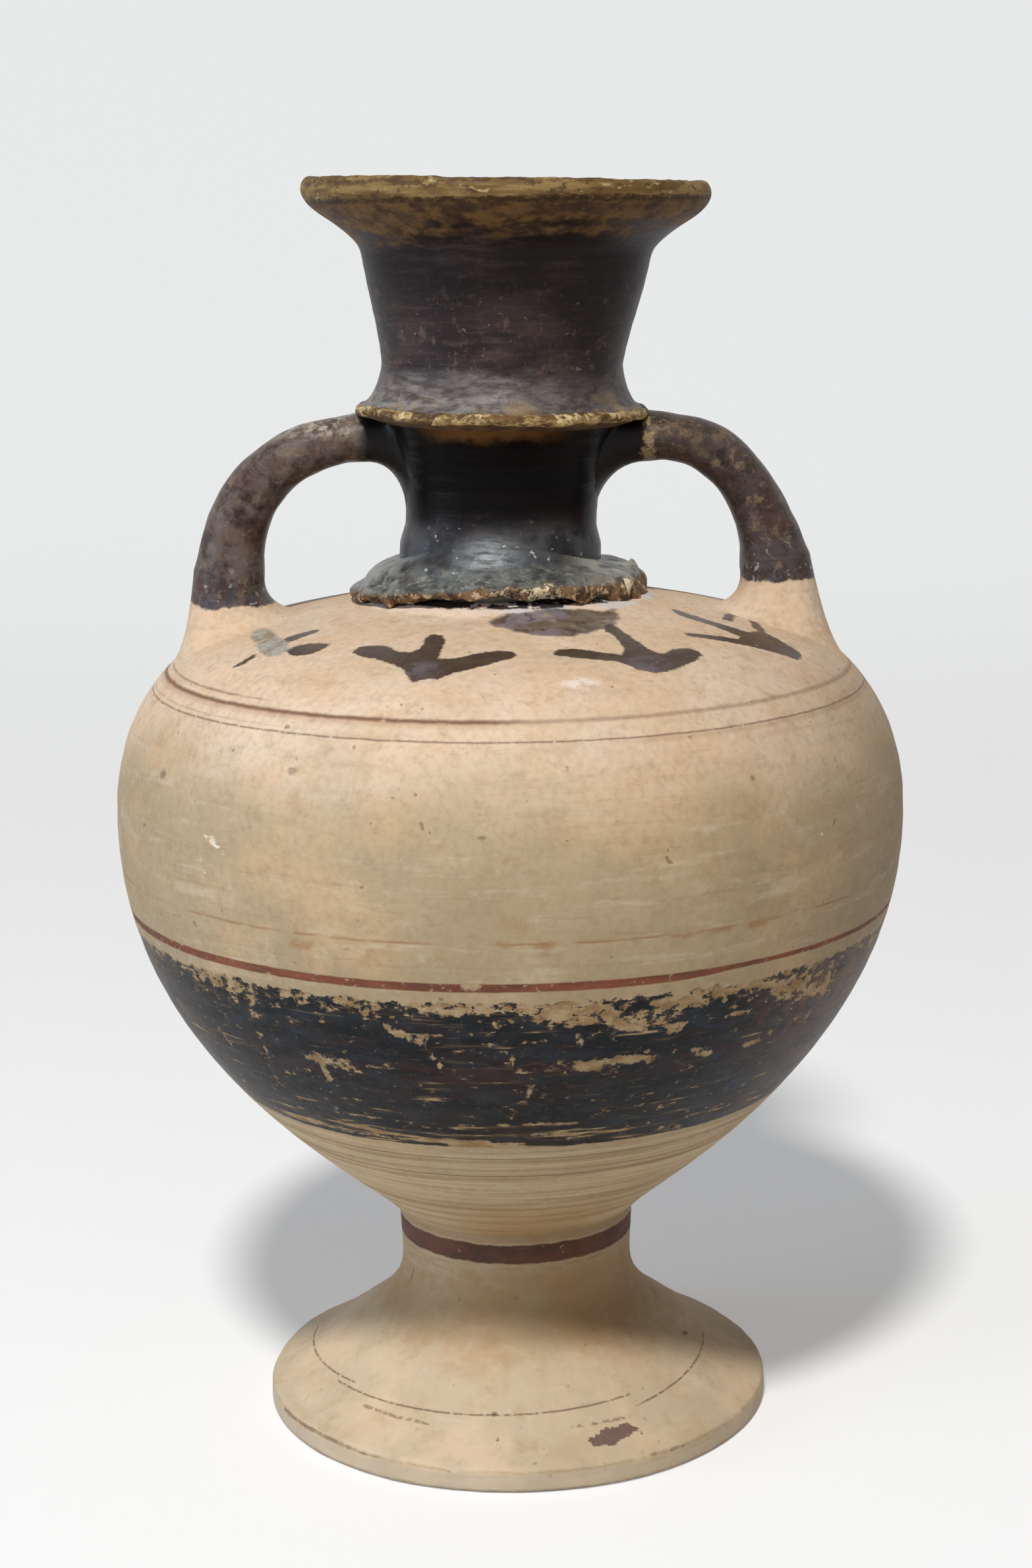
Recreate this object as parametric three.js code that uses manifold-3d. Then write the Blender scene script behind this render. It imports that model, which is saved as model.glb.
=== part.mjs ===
// Amphoriskos: a small two-handled jar on a flaring foot, in fired clay.
// It is thrown in sections (foot, body, neck, mouth) that are keyed and luted together,
// with two applied rings of clay and two pulled handles.
// Millimetres, +Z up. The origin is on the table, under the axis; the handles lie along X.

import * as THREE from 'three';
import { mergeVertices } from 'three/addons/utils/BufferGeometryUtils.js';
import Module from 'manifold-3d';

// Joints: each key of one section sits in a socket of the next, in a film of slip
const fitGap = 0.3;
const socketDepth = 2.0;
const keyWall = 1.6;
const socketWall = 1.7;

// Foot
const footHeight = 27.2;         // table to the seat that carries the body
const footRadius = 33.1;
const footRimHeight = 2.8;       // upright edge
const restingRingWidth = 4.7;    // flat ring that stands on the table
const stemRadius = 15.1;         // waist of the stem
const stemWaistDrop = 7.3;       // waist below the seat
const stemSeatFlare = 0.3;       // seat wider than the waist
const stemWeb = 8.1;             // clay between the socket and the hollow underneath
const footSlope = 38;            // degrees, where the spread of the foot turns up into the stem
const footSlopeRadius = 23.6;
const footSlopeHeight = 9.1;
const rimPull = 1.0;             // pull of each curve at its ends
const footSlopePull = 9.7;
const stemSlopePull = 4.4;
const stemPull = 5.7;
const hollowFlatShare = 0.4;     // share of the hollow's radius that is nearly flat

// Body
const bodyHeight = 81.5;         // seat to the land around the throat
const bellyRadius = 50.4;
const bellyHeight = 53.6;        // widest point above the seat
const seatOverhang = 0.7;        // edge of the body beyond the stem
const bodyWall = 3.2;
const bodyFloor = 4.5;
const throatRadius = 9.2;        // bore of the throat and the neck
const landWidth = 2.4;           // flat ring round the neck
const bodyKeyInset = 6.3;        // boss under the body, inside the edge of the stem
const bodyKeyHeight = 1.8;
const shoulderInset = 10.4;      // turn of the shoulder, inside the belly
const shoulderDrop = 6.9;        // turn of the shoulder, below the land
const shoulderSlope = 33;        // degrees, at the turn
const seatRunShare = 0.12;       // share of the run from the seat to the belly
const seatRiseShare = 0.1;       // share of the rise from the seat to the belly
const lowerBellyShare = 0.6;     // share of that rise, down from the belly
const upperBellyShare = 0.55;    // share of the rise from the belly to the turn
const shoulderPullShare = 0.55;  // share of the run on both sides of the turn

// Neck
const neckHeight = 20.7;         // land to the step under the ridge
const neckSocketWall = 1.4;      // neck outside the key of the throat
const neckWaistInset = 0.4;
const neckFootHeight = 4.8;
const neckFootEase = 1.6;        // height over which the neck's foot draws in
const neckStepWidth = 1.8;       // step outside the upper key, which carries the ridge
const neckFlareHeight = 9.5;

// Collar round the neck's foot
const collarSpread = 4.8;        // beyond the land, down the shoulder
const collarSeatFall = 1.5;      // edge of the collar below the land
const collarHeight = 3.7;        // above the land
const collarEdgeHeight = 0.7;
const collarTopFlare = 0.9;
const collarEdgePull = 1.6;
const collarTopPull = 3.6;

// Ridge between neck and mouth
const ridgeHeight = 4.4;
const ridgeOverhang = 3.2;
const ridgeEdgeHeight = 1.6;
const ridgeEdgeRise = 0.5;       // edge above the flat underside
const ridgeEdgeRound = 0.3;

// Mouth
const mouthHeight = 25.9;
const mouthRadius = 15.2;        // waist just above the ridge
const mouthFootFlare = 0.1;
const mouthFootHeight = 1.6;
const mouthFlare = 2.8;          // gain in radius up to the lip
const mouthFlareHeight = 16.2;
const lipRadius = 25.5;
const lipHeight = 2.2;           // widest point below the top
const lipRound = 1.2;            // rounded edge of the lip, inside its widest point
const lipTopWidth = 1.4;
const lipTopFall = 0.4;
const lipRootOut = 0.9;          // pull of the lip's underside where it leaves the wall
const lipRootUp = 4.0;
const lipEdgeIn = 1.8;           // and where it meets the edge
const lipEdgeDown = 3.2;
const mouthWall = 2.6;
const mouthFloor = 1.6;          // clay over the socket

// Handles
const handleInset = 15.2;        // centre line inside the belly
const handleTopDrop = 1.8;       // centre line below the ridge's underside
const handleRootInset = 0.3;
const handleWidth = 9.4;         // across, along Y
const handleTopThickness = 6.7;
const handleBendThickness = 7.2;
const handleRootThickness = 9.2;
const handleHeelDepth = 3.4;     // fillet under the handle where it leaves the neck
const handleHeelRun = 5.0;
const handlePadFlare = 3.4;      // spread of the root on the shoulder
const handlePadHeight = 4.0;
const handleSquareness = 2.75;   // exponent of the superellipse that the centre line follows

// Facets
const turnSegments = 40;
const curveSteps = 5;
const handleBends = 7;
const handleSteps = 18;
const handleSides = 12;

// Heights of the joints above the table
const seatZ = footHeight;
const bellyZ = seatZ + bellyHeight;
const landZ = seatZ + bodyHeight;
const stepZ = landZ + neckHeight;
const mouthBaseZ = stepZ + ridgeHeight;
const topZ = mouthBaseZ + mouthHeight;

// Radii that two sections share
const stemSeatRadius = stemRadius + stemSeatFlare;
const bodyKeyRadius = stemSeatRadius - bodyKeyInset;
const throatKeyRadius = throatRadius + keyWall;
const neckFootRadius = throatKeyRadius + fitGap + neckSocketWall;
const neckRadius = neckFootRadius - neckWaistInset;
const landRadius = neckFootRadius + landWidth;
const collarRadius = landRadius + collarSpread;
const ringBoreRadius = mouthRadius - socketWall;
const neckKeyRadius = ringBoreRadius - fitGap;
const neckTopRadius = neckKeyRadius + neckStepWidth;
const ridgeTopRadius = mouthRadius + mouthFootFlare;
const ridgeRadius = ridgeTopRadius + ridgeOverhang;
const handleReach = bellyRadius - handleInset;

const wasm = await Module();
wasm.setup();

// Turns an outline of (radius, height) points about Z
function turned(outline) {
  return new THREE.LatheGeometry(outline, turnSegments).rotateX(Math.PI / 2);
}

function closed(outline) {
  return [...outline, outline[0].clone()];
}

// Moves an open outline outwards by the fit gap, square to itself, and closes it on the axis
function envelope(outline) {
  const moved = outline.map((point, i) => {
    const before = outline[Math.max(i - 1, 0)];
    const after = outline[Math.min(i + 1, outline.length - 1)];
    const along = after.clone().sub(before).normalize();
    return new THREE.Vector2(point.x + fitGap * along.y, point.y - fitGap * along.x);
  });
  const bottom = new THREE.Vector2(0, moved[0].y);
  const top = new THREE.Vector2(0, moved[moved.length - 1].y);
  return toSolid(turned([bottom, ...moved, top]));
}

function toSolid(geometry) {
  const bare = geometry.clone();
  bare.deleteAttribute('normal');
  bare.deleteAttribute('uv');
  const merged = mergeVertices(bare);
  return new wasm.Manifold(new wasm.Mesh({
    numProp: 3,
    vertProperties: new Float32Array(merged.attributes.position.array),
    triVerts: new Uint32Array(merged.index.array),
  }));
}

function toGeometry(solid) {
  const mesh = solid.getMesh();
  const geometry = new THREE.BufferGeometry();
  geometry.setAttribute('position', new THREE.BufferAttribute(mesh.vertProperties, 3));
  geometry.setIndex(new THREE.BufferAttribute(mesh.triVerts, 1));
  geometry.computeVertexNormals();
  return geometry;
}

// Foot: a shallow bell with a solid stem, hollowed underneath
function footGeometry() {
  const socketZ = seatZ - bodyKeyHeight - fitGap;
  const socketRadius = bodyKeyRadius + fitGap;
  const hollowZ = socketZ - stemWeb;
  const hollowRadius = footRadius - restingRingWidth;
  const slope = THREE.MathUtils.degToRad(footSlope);
  const out = Math.cos(slope);
  const down = Math.sin(slope);
  const path = new THREE.Path();
  path.moveTo(0, hollowZ);
  path.bezierCurveTo(
    hollowFlatShare * hollowRadius, hollowZ,
    (1 - hollowFlatShare) * hollowRadius, hollowFlatShare * hollowZ,
    hollowRadius, 0,
  );
  path.lineTo(footRadius, 0);
  path.lineTo(footRadius, footRimHeight);
  path.bezierCurveTo(
    footRadius, footRimHeight + rimPull,
    footSlopeRadius + footSlopePull * out, footSlopeHeight - footSlopePull * down,
    footSlopeRadius, footSlopeHeight,
  );
  path.bezierCurveTo(
    footSlopeRadius - stemSlopePull * out, footSlopeHeight + stemSlopePull * down,
    stemRadius, seatZ - stemWaistDrop - stemPull,
    stemRadius, seatZ - stemWaistDrop,
  );
  path.lineTo(stemSeatRadius, seatZ);
  path.lineTo(socketRadius, seatZ);
  path.lineTo(socketRadius, socketZ);
  path.lineTo(0, socketZ);
  return turned(path.getPoints(curveSteps));
}

// Ovoid with a full, rounded shoulder that is nearly flat on top
function ovoid(belly, foot, turn, top) {
  const slope = THREE.MathUtils.degToRad(shoulderSlope);
  const edgePull = shoulderPullShare * (belly.x - turn.x);
  const topPull = shoulderPullShare * (turn.x - top.x);
  const path = new THREE.Path();
  path.moveTo(foot.x, foot.y);
  path.bezierCurveTo(
    THREE.MathUtils.lerp(foot.x, belly.x, seatRunShare),
    THREE.MathUtils.lerp(foot.y, belly.y, seatRiseShare),
    belly.x,
    THREE.MathUtils.lerp(belly.y, foot.y, lowerBellyShare),
    belly.x,
    belly.y,
  );
  path.bezierCurveTo(
    belly.x, THREE.MathUtils.lerp(belly.y, turn.y, upperBellyShare),
    turn.x + edgePull * Math.cos(slope), turn.y - edgePull * Math.sin(slope),
    turn.x, turn.y,
  );
  path.quadraticCurveTo(
    turn.x - topPull * Math.cos(slope) / 2, turn.y + topPull * Math.sin(slope) / 2,
    top.x, top.y,
  );
  return path.getPoints(2 * curveSteps);
}

// Body: the ovoid, then a short cone up to the flat land round the throat
const bodyOutline = [
  ...ovoid(
    new THREE.Vector2(bellyRadius, bellyZ),
    new THREE.Vector2(stemSeatRadius + seatOverhang, seatZ),
    new THREE.Vector2(bellyRadius - shoulderInset, landZ - shoulderDrop),
    new THREE.Vector2(collarRadius, landZ - collarSeatFall),
  ),
  new THREE.Vector2(landRadius, landZ),
];

function bodyGeometry() {
  const inside = ovoid(
    new THREE.Vector2(bellyRadius - bodyWall, bellyZ),
    new THREE.Vector2(0, seatZ + bodyFloor),
    new THREE.Vector2(bellyRadius - shoulderInset - bodyWall / 2, landZ - shoulderDrop - bodyWall),
    new THREE.Vector2(throatRadius, landZ - bodyWall),
  );
  return turned([
    new THREE.Vector2(0, seatZ - bodyKeyHeight),
    new THREE.Vector2(bodyKeyRadius, seatZ - bodyKeyHeight),
    new THREE.Vector2(bodyKeyRadius, seatZ),
    ...bodyOutline,
    new THREE.Vector2(throatKeyRadius, landZ),
    new THREE.Vector2(throatKeyRadius, landZ + socketDepth),
    new THREE.Vector2(throatRadius, landZ + socketDepth),
    ...inside.reverse(),
  ]);
}

// Neck: a tube that flares under the ridge, with a socket below and a key above
function neckOutline() {
  const path = new THREE.Path();
  path.moveTo(neckFootRadius, landZ);
  path.lineTo(neckFootRadius, landZ + neckFootHeight);
  path.lineTo(neckRadius, landZ + neckFootHeight + neckFootEase);
  path.lineTo(neckRadius, stepZ - neckFlareHeight);
  path.quadraticCurveTo(
    neckRadius, stepZ - neckFlareHeight / 2,
    neckTopRadius, stepZ,
  );
  return path.getPoints(curveSteps);
}

function neckGeometry() {
  const socketRadius = throatKeyRadius + fitGap;
  const socketZ = landZ + socketDepth + fitGap;
  const keyTopZ = mouthBaseZ + socketDepth - fitGap;
  return turned(closed([
    ...neckOutline(),
    new THREE.Vector2(neckKeyRadius, stepZ),
    new THREE.Vector2(neckKeyRadius, keyTopZ),
    new THREE.Vector2(throatRadius, keyTopZ),
    new THREE.Vector2(throatRadius, socketZ),
    new THREE.Vector2(socketRadius, socketZ),
    new THREE.Vector2(socketRadius, landZ),
  ]));
}

// Collar: the fillet of clay pressed round the foot of the neck
function collarGeometry() {
  const bore = neckFootRadius + fitGap;
  const collarTopRadius = neckFootRadius + collarTopFlare;
  const edgeZ = landZ - collarSeatFall + collarEdgeHeight;
  const path = new THREE.Path();
  path.moveTo(bore, landZ);
  path.lineTo(landRadius, landZ);
  path.lineTo(collarRadius, landZ - collarSeatFall);
  path.lineTo(collarRadius, edgeZ);
  path.bezierCurveTo(
    collarRadius - collarEdgePull / 2, edgeZ + collarEdgePull,
    collarTopRadius + collarTopPull, landZ + collarHeight,
    collarTopRadius, landZ + collarHeight,
  );
  path.lineTo(bore, landZ + collarHeight);
  return turned(closed(path.getPoints(curveSteps)));
}

// Ridge: a sharp ring of clay that covers the joint of neck and mouth
function ridgeOutline() {
  const edgeLow = stepZ + ridgeEdgeRise;
  const edgeHigh = edgeLow + ridgeEdgeHeight;
  const path = new THREE.Path();
  path.moveTo(neckTopRadius, stepZ);
  path.lineTo(ridgeRadius - ridgeEdgeRound, edgeLow);
  path.lineTo(ridgeRadius, edgeLow + ridgeEdgeRound);
  path.lineTo(ridgeRadius, edgeHigh - ridgeEdgeRound);
  path.lineTo(ridgeRadius - ridgeEdgeRound, edgeHigh);
  path.quadraticCurveTo(
    ridgeTopRadius, edgeHigh,
    ridgeTopRadius, mouthBaseZ,
  );
  return path.getPoints(curveSteps);
}

function ridgeGeometry() {
  return turned(closed([
    new THREE.Vector2(ringBoreRadius, stepZ),
    ...ridgeOutline(),
    new THREE.Vector2(ringBoreRadius, mouthBaseZ),
  ]));
}

// Mouth: a tall cup with a spread lip, seated on the ridge and keyed to the neck
function mouthGeometry() {
  const flareZ = mouthBaseZ + mouthFlareHeight;
  const flareRadius = mouthRadius + mouthFlare;
  const lipZ = topZ - lipHeight;
  const lipTopRadius = lipRadius - lipRound;
  const lipInnerRadius = lipTopRadius - lipTopWidth;
  const socketZ = mouthBaseZ + socketDepth;
  const floorZ = socketZ + mouthFloor;
  const innerRadius = mouthRadius - mouthWall;
  const path = new THREE.Path();
  path.moveTo(ringBoreRadius, mouthBaseZ);
  path.lineTo(ridgeTopRadius, mouthBaseZ);
  path.lineTo(mouthRadius, mouthBaseZ + mouthFootHeight);
  path.quadraticCurveTo(
    mouthRadius, mouthBaseZ + mouthFlareHeight / 3,
    flareRadius, flareZ,
  );
  path.bezierCurveTo(
    flareRadius + lipRootOut, flareZ + lipRootUp,
    lipRadius - lipEdgeIn, lipZ - lipEdgeDown,
    lipRadius, lipZ,
  );
  path.quadraticCurveTo(lipRadius, topZ, lipTopRadius, topZ);
  path.lineTo(lipInnerRadius, topZ - lipTopFall);
  path.bezierCurveTo(
    flareRadius, lipZ,
    flareRadius - mouthWall + lipRootOut, flareZ + lipRootUp,
    flareRadius - mouthWall, flareZ,
  );
  path.quadraticCurveTo(
    innerRadius, mouthBaseZ + mouthFlareHeight / 2,
    innerRadius, floorZ + mouthFloor,
  );
  path.quadraticCurveTo(innerRadius, floorZ, throatRadius, floorZ);
  path.lineTo(throatRadius, socketZ);
  path.lineTo(ringBoreRadius, socketZ);
  return turned(closed(path.getPoints(curveSteps)));
}

// Height of the body's outside at a radius on its shoulder
function shoulderZ(radius) {
  const shoulder = bodyOutline.filter((point) => point.y >= bellyZ);
  const inner = shoulder.findIndex((point) => point.x < radius);
  const a = shoulder[inner - 1];
  const b = shoulder[inner];
  return THREE.MathUtils.mapLinear(radius, a.x, b.x, a.y, b.y);
}

// Point of the handle's centre line, a quarter of a superellipse
function handleBendPoint(share) {
  const angle = share * Math.PI / 2;
  const run = Math.sin(angle) ** (2 / handleSquareness);
  const rise = Math.cos(angle) ** (2 / handleSquareness);
  return new THREE.Vector3(neckTopRadius + run * handleRun, 0, rootZ + rise * handleFall);
}

// Handle: an oval strap that leaves the neck under the ridge, bends over and drops to the shoulder
const rootRadius = handleReach - handleRootInset;
const rootZ = shoulderZ(rootRadius);
const handleTopZ = stepZ - handleTopDrop;
const handleRun = handleReach - neckTopRadius;
const handleFall = handleTopZ - rootZ;

const handlePath = new THREE.CatmullRomCurve3([
  new THREE.Vector3(throatRadius, 0, handleTopZ),
  ...Array.from({ length: handleBends }, (_, i) => handleBendPoint((i + 0.5) / handleBends)),
  new THREE.Vector3(rootRadius, 0, rootZ - bodyWall),
]);

// Section of the handle at a share of its length
function handleSection(share) {
  const centre = handlePath.getPointAt(share);
  const bend = THREE.MathUtils.smoothstep(share, 0.2, 0.55);
  const root = THREE.MathUtils.smoothstep(share, 0.5, 0.85);
  const heel = THREE.MathUtils.clamp(1 - (centre.x - neckRadius) / handleHeelRun, 0, 1) ** 2;
  const pad = THREE.MathUtils.clamp(1 - (centre.z - rootZ) / handlePadHeight, 0, 1) ** 1.5;
  const strap = handleTopThickness
    + bend * (handleBendThickness - handleTopThickness)
    + root * (handleRootThickness - handleBendThickness);
  return {
    centre,
    sink: 0.5 * heel * handleHeelDepth,
    thickness: strap + heel * handleHeelDepth + pad * handlePadFlare,
    width: handleWidth + pad * handlePadFlare,
  };
}

function handleBlank() {
  const strap = new THREE.CylinderGeometry(1, 1, 1, handleSides, handleSteps);
  const position = strap.attributes.position;
  for (let i = 0; i < position.count; i += 1) {
    const share = position.getY(i) + 0.5;
    const along = handlePath.getTangentAt(share);
    const outward = new THREE.Vector3(-along.z, 0, along.x);
    const { centre, sink, thickness, width } = handleSection(share);
    centre.addScaledVector(outward, 0.5 * thickness * position.getX(i) - sink);
    centre.y += 0.5 * width * position.getZ(i);
    position.setXYZ(i, centre.x, centre.y, centre.z);
  }
  return toSolid(strap);
}

function handleGeometry() {
  const cut = handleBlank()
    .subtract(envelope(neckOutline()))
    .subtract(envelope(ridgeOutline()))
    .subtract(envelope(bodyOutline));
  return toGeometry(cut);
}

const paleClay = new THREE.MeshStandardMaterial({ color: 0xd3b993, roughness: 0.7, metalness: 0 });
const clay = new THREE.MeshStandardMaterial({ color: 0xcdb48f, roughness: 0.6, metalness: 0 });
const darkSlip = new THREE.MeshStandardMaterial({ color: 0x3c3030, roughness: 0.4, metalness: 0 });
const wornSlip = new THREE.MeshStandardMaterial({ color: 0x4a3a36, roughness: 0.5, metalness: 0 });

const amphoriskos = new THREE.Group();

function add(name, geometry, material) {
  const mesh = new THREE.Mesh(geometry, material);
  mesh.name = name;
  amphoriskos.add(mesh);
  return mesh;
}

add('foot', footGeometry(), paleClay);
add('body', bodyGeometry(), clay);
add('neck', neckGeometry(), darkSlip);
add('neck_collar', collarGeometry(), darkSlip);
add('neck_ridge', ridgeGeometry(), wornSlip);
add('mouth', mouthGeometry(), darkSlip);
add('handle_right', handleGeometry(), wornSlip);
add('handle_left', handleGeometry(), wornSlip).rotation.z = Math.PI;

export default amphoriskos;
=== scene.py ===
"""Dressed amphoriskos: turned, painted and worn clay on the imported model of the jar."""
import math

import bmesh
import bpy
import numpy as np
from mathutils import Matrix, Vector, noise
from mathutils.geometry import interpolate_bezier


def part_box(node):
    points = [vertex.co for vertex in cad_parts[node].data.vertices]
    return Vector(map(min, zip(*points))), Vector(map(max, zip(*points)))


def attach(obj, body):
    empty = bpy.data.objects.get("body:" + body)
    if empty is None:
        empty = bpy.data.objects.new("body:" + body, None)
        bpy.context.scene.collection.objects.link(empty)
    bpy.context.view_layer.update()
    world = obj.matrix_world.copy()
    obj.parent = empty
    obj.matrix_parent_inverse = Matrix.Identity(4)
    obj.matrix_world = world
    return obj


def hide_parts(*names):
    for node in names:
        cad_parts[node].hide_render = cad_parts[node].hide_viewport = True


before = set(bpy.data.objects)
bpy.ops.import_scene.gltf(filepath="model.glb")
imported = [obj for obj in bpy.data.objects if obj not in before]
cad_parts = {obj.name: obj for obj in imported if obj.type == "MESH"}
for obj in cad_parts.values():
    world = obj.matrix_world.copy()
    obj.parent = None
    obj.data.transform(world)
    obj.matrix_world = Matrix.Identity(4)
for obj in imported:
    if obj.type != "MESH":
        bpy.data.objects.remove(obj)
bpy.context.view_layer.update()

MM = 0.001

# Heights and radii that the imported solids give, in millimetres
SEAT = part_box("foot")[1].z / MM
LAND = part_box("neck")[0].z / MM
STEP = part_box("neck_ridge")[0].z / MM
MOUTH_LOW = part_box("mouth")[0].z / MM
MOUTH_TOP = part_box("mouth")[1].z / MM
FOOT_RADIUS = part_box("foot")[1].x / MM
BELLY_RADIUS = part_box("body")[1].x / MM
COLLAR_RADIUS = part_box("neck_collar")[1].x / MM
COLLAR_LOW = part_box("neck_collar")[0].z / MM
LIP_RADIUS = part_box("mouth")[1].x / MM
BELLY = SEAT + 53.6
BORE = 9.2

# The throat's key stands in the neck's socket, with a film left open round it
FILM = 0.3
KEY_RADIUS = BORE + 1.6
KEY_TOP = LAND + 2

# The neck and all above it were set on a little off the axis and lean towards the right handle
NECK_SHIFT = -0.86
NECK_LEAN = 0.0243
MOUTH_LEAN = 0.016
LEAN_FROM = 107.0


def hue(red, green, blue):
    """A colour from its screen values, 0 to 255."""
    values = [v / 255 for v in (red, green, blue)]
    return tuple(v / 12.92 if v <= 0.04045 else ((v + 0.055) / 1.055) ** 2.4 for v in values) + (1,)


def share(value, low, high):
    """How far value is from low to high, smoothed, 0 to 1."""
    t = min(max((value - low) / (high - low), 0), 1)
    return t * t * (3 - 2 * t)


# Outlines and turned pieces

def outline(start, *runs):
    """Points (radius, 0, height) of an outline; a run is (end, steps) or (handle, handle, end, steps)."""
    points = [Vector((start[0], 0, start[1]))]
    for run in runs:
        ends = [Vector((x, 0, z)) for x, z in run[:-1]]
        if len(ends) == 1:
            points += [points[-1].lerp(ends[0], (i + 1) / run[-1]) for i in range(run[-1])]
        else:
            points += interpolate_bezier(points[-1], *ends, run[-1] + 1)[1:]
    return points


def turned(points, steps, ring=False):
    """Spins an outline about the axis. A ring's outline closes on itself."""
    bm = bmesh.new()
    verts = [bm.verts.new(p) for p in points]
    edges = [bm.edges.new(pair) for pair in zip(verts, verts[1:])]
    if ring:
        edges.append(bm.edges.new((verts[-1], verts[0])))
    bmesh.ops.spin(bm, geom=verts + edges, cent=(0, 0, 0), axis=(0, 0, 1),
                   angle=2 * math.pi, steps=steps, use_merge=True)
    bmesh.ops.remove_doubles(bm, verts=bm.verts, dist=1e-4)
    bmesh.ops.recalc_face_normals(bm, faces=bm.faces)
    return bm


def wobble(co, size, amount, seed=0):
    """Smooth noise about nought at a point, for lumps of that size in millimetres."""
    return amount * noise.noise(co / size + Vector((seed, 2 * seed, -seed)))


def widen(co, amount):
    """Moves a point out from the axis."""
    radius = math.hypot(co.x, co.y)
    if radius > 1e-6:
        co.x += amount * co.x / radius
        co.y += amount * co.y / radius


def lean(co):
    """Shifts and tilts a point of the neck or of what it carries."""
    rise = share(co.z, LEAN_FROM - 1, LEAN_FROM + 4)
    above = max(co.z - MOUTH_LOW, 0)
    co.z -= rise * NECK_LEAN * co.x
    co.x += rise * (NECK_SHIFT + NECK_LEAN * (co.z - LEAN_FROM)) + MOUTH_LEAN * above


def placed(name, data):
    """A new object in the scene."""
    thing = bpy.data.objects.new(name, data)
    bpy.context.scene.collection.objects.link(thing)
    return thing


def formed(name, bm, material):
    """Turns a mesh under construction into an object with one material."""
    mesh = bpy.data.meshes.new(name)
    bm.to_mesh(mesh)
    bm.free()
    mesh.shade_smooth()
    mesh.materials.append(material)
    return placed(name, mesh)


def finished(name, bm, node, material, crease=40):
    """Turns a mesh in millimetres into the piece that stands for a CAD node."""
    bmesh.ops.scale(bm, vec=(MM, MM, MM), verts=bm.verts)
    piece = formed(name, bm, material)
    piece.data.set_sharp_from_angle(angle=math.radians(crease))
    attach(piece, "root")
    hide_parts(node)
    return piece


# Marks on the surface, kept as distances in millimetres, below nought inside the mark
FAR = 9


def to_line(points, a, b):
    """Distance of points to the line between two others."""
    along = b - a
    t = np.clip((points - a) @ along / (along @ along), 0, 1)
    return np.linalg.norm(points - a - t[:, None] * along, axis=1)


def to_polygon(points, corners):
    """Signed distance of points in plan to a closed outline, given as x and y of its corners in turn."""
    corners = np.reshape(corners, (-1, 2))
    best = np.full(len(points), 1e9)
    inside = np.zeros(len(points), bool)
    for a, b in zip(corners, np.roll(corners, -1, axis=0)):
        best = np.minimum(best, to_line(points, a, b))
        crosses = (a[1] > points[:, 1]) != (b[1] > points[:, 1])
        with np.errstate(divide="ignore", invalid="ignore"):
            x = a[0] + (points[:, 1] - a[1]) * (b[0] - a[0]) / (b[1] - a[1])
        inside ^= crosses & (points[:, 0] < x)
    return np.where(inside, -best, best)


def on_wall(spots, profile):
    """Points in space from angles to the right of the front, and heights on a turned wall."""
    angle, z = np.reshape(spots, (-1, 2)).T
    r = np.interp(z, [p.z for p in profile], [p.x for p in profile])
    angle = np.radians(angle)
    return np.stack([r * np.sin(angle), -r * np.cos(angle), z], axis=1)


def to_stroke(points, stroke, profile):
    """Signed distance of points to a stroke: its half width, then angle and height of its points in turn."""
    ends = on_wall(stroke[1:], profile)
    return np.min([to_line(points, a, b) for a, b in zip(ends, ends[1:])], axis=0) - stroke[0]


def mark(piece, name, distances, where=True):
    """Keeps the least of some distances on a piece's mesh, where that holds, for its material to read."""
    nearest = np.where(where, np.min(distances, axis=0), FAR)
    layer = piece.data.attributes.new(name, "FLOAT", "POINT")
    layer.data.foreach_set("value", np.clip(nearest, -FAR, FAR).astype(np.float32))


def positions(piece):
    """Points of a piece's mesh in millimetres, and how far they are from the axis."""
    co = np.zeros(len(piece.data.vertices) * 3, np.float32)
    piece.data.vertices.foreach_get("co", co)
    co = co.reshape(-1, 3).astype(float) / MM
    return co, np.hypot(co[:, 0], co[:, 1])


# Finishes

class Nodes:
    """A node tree in the making."""

    def __init__(self, owner):
        owner.use_nodes = True
        self.tree = owner.node_tree

    def node(self, kind, *inputs, **settings):
        node = self.tree.nodes.new(kind)
        for key, value in settings.items():
            setattr(node, key, value)
        for i, value in enumerate(inputs):
            self.feed(node.inputs[i], value)
        return node

    def feed(self, socket, value):
        if isinstance(value, bpy.types.NodeSocket):
            self.tree.links.new(value, socket)
        elif value is not None:
            socket.default_value = value

    def math(self, operation, *values):
        return self.node("ShaderNodeMath", *values, operation=operation).outputs[0]

    def joined(self, operation, factors):
        out = factors[0]
        for factor in factors[1:]:
            out = self.math(operation, out, factor)
        return out

    def both(self, *factors):
        return self.joined("MULTIPLY", factors)

    def either(self, *factors):
        return self.joined("MAXIMUM", factors)

    def seen(self):
        """1 for what the picture shows, also in a mirror or through glass, 0 for what only gives light."""
        rays = self.node("ShaderNodeLightPath").outputs
        return self.either(rays["Is Camera Ray"], rays["Is Glossy Ray"], rays["Is Transmission Ray"])


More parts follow.
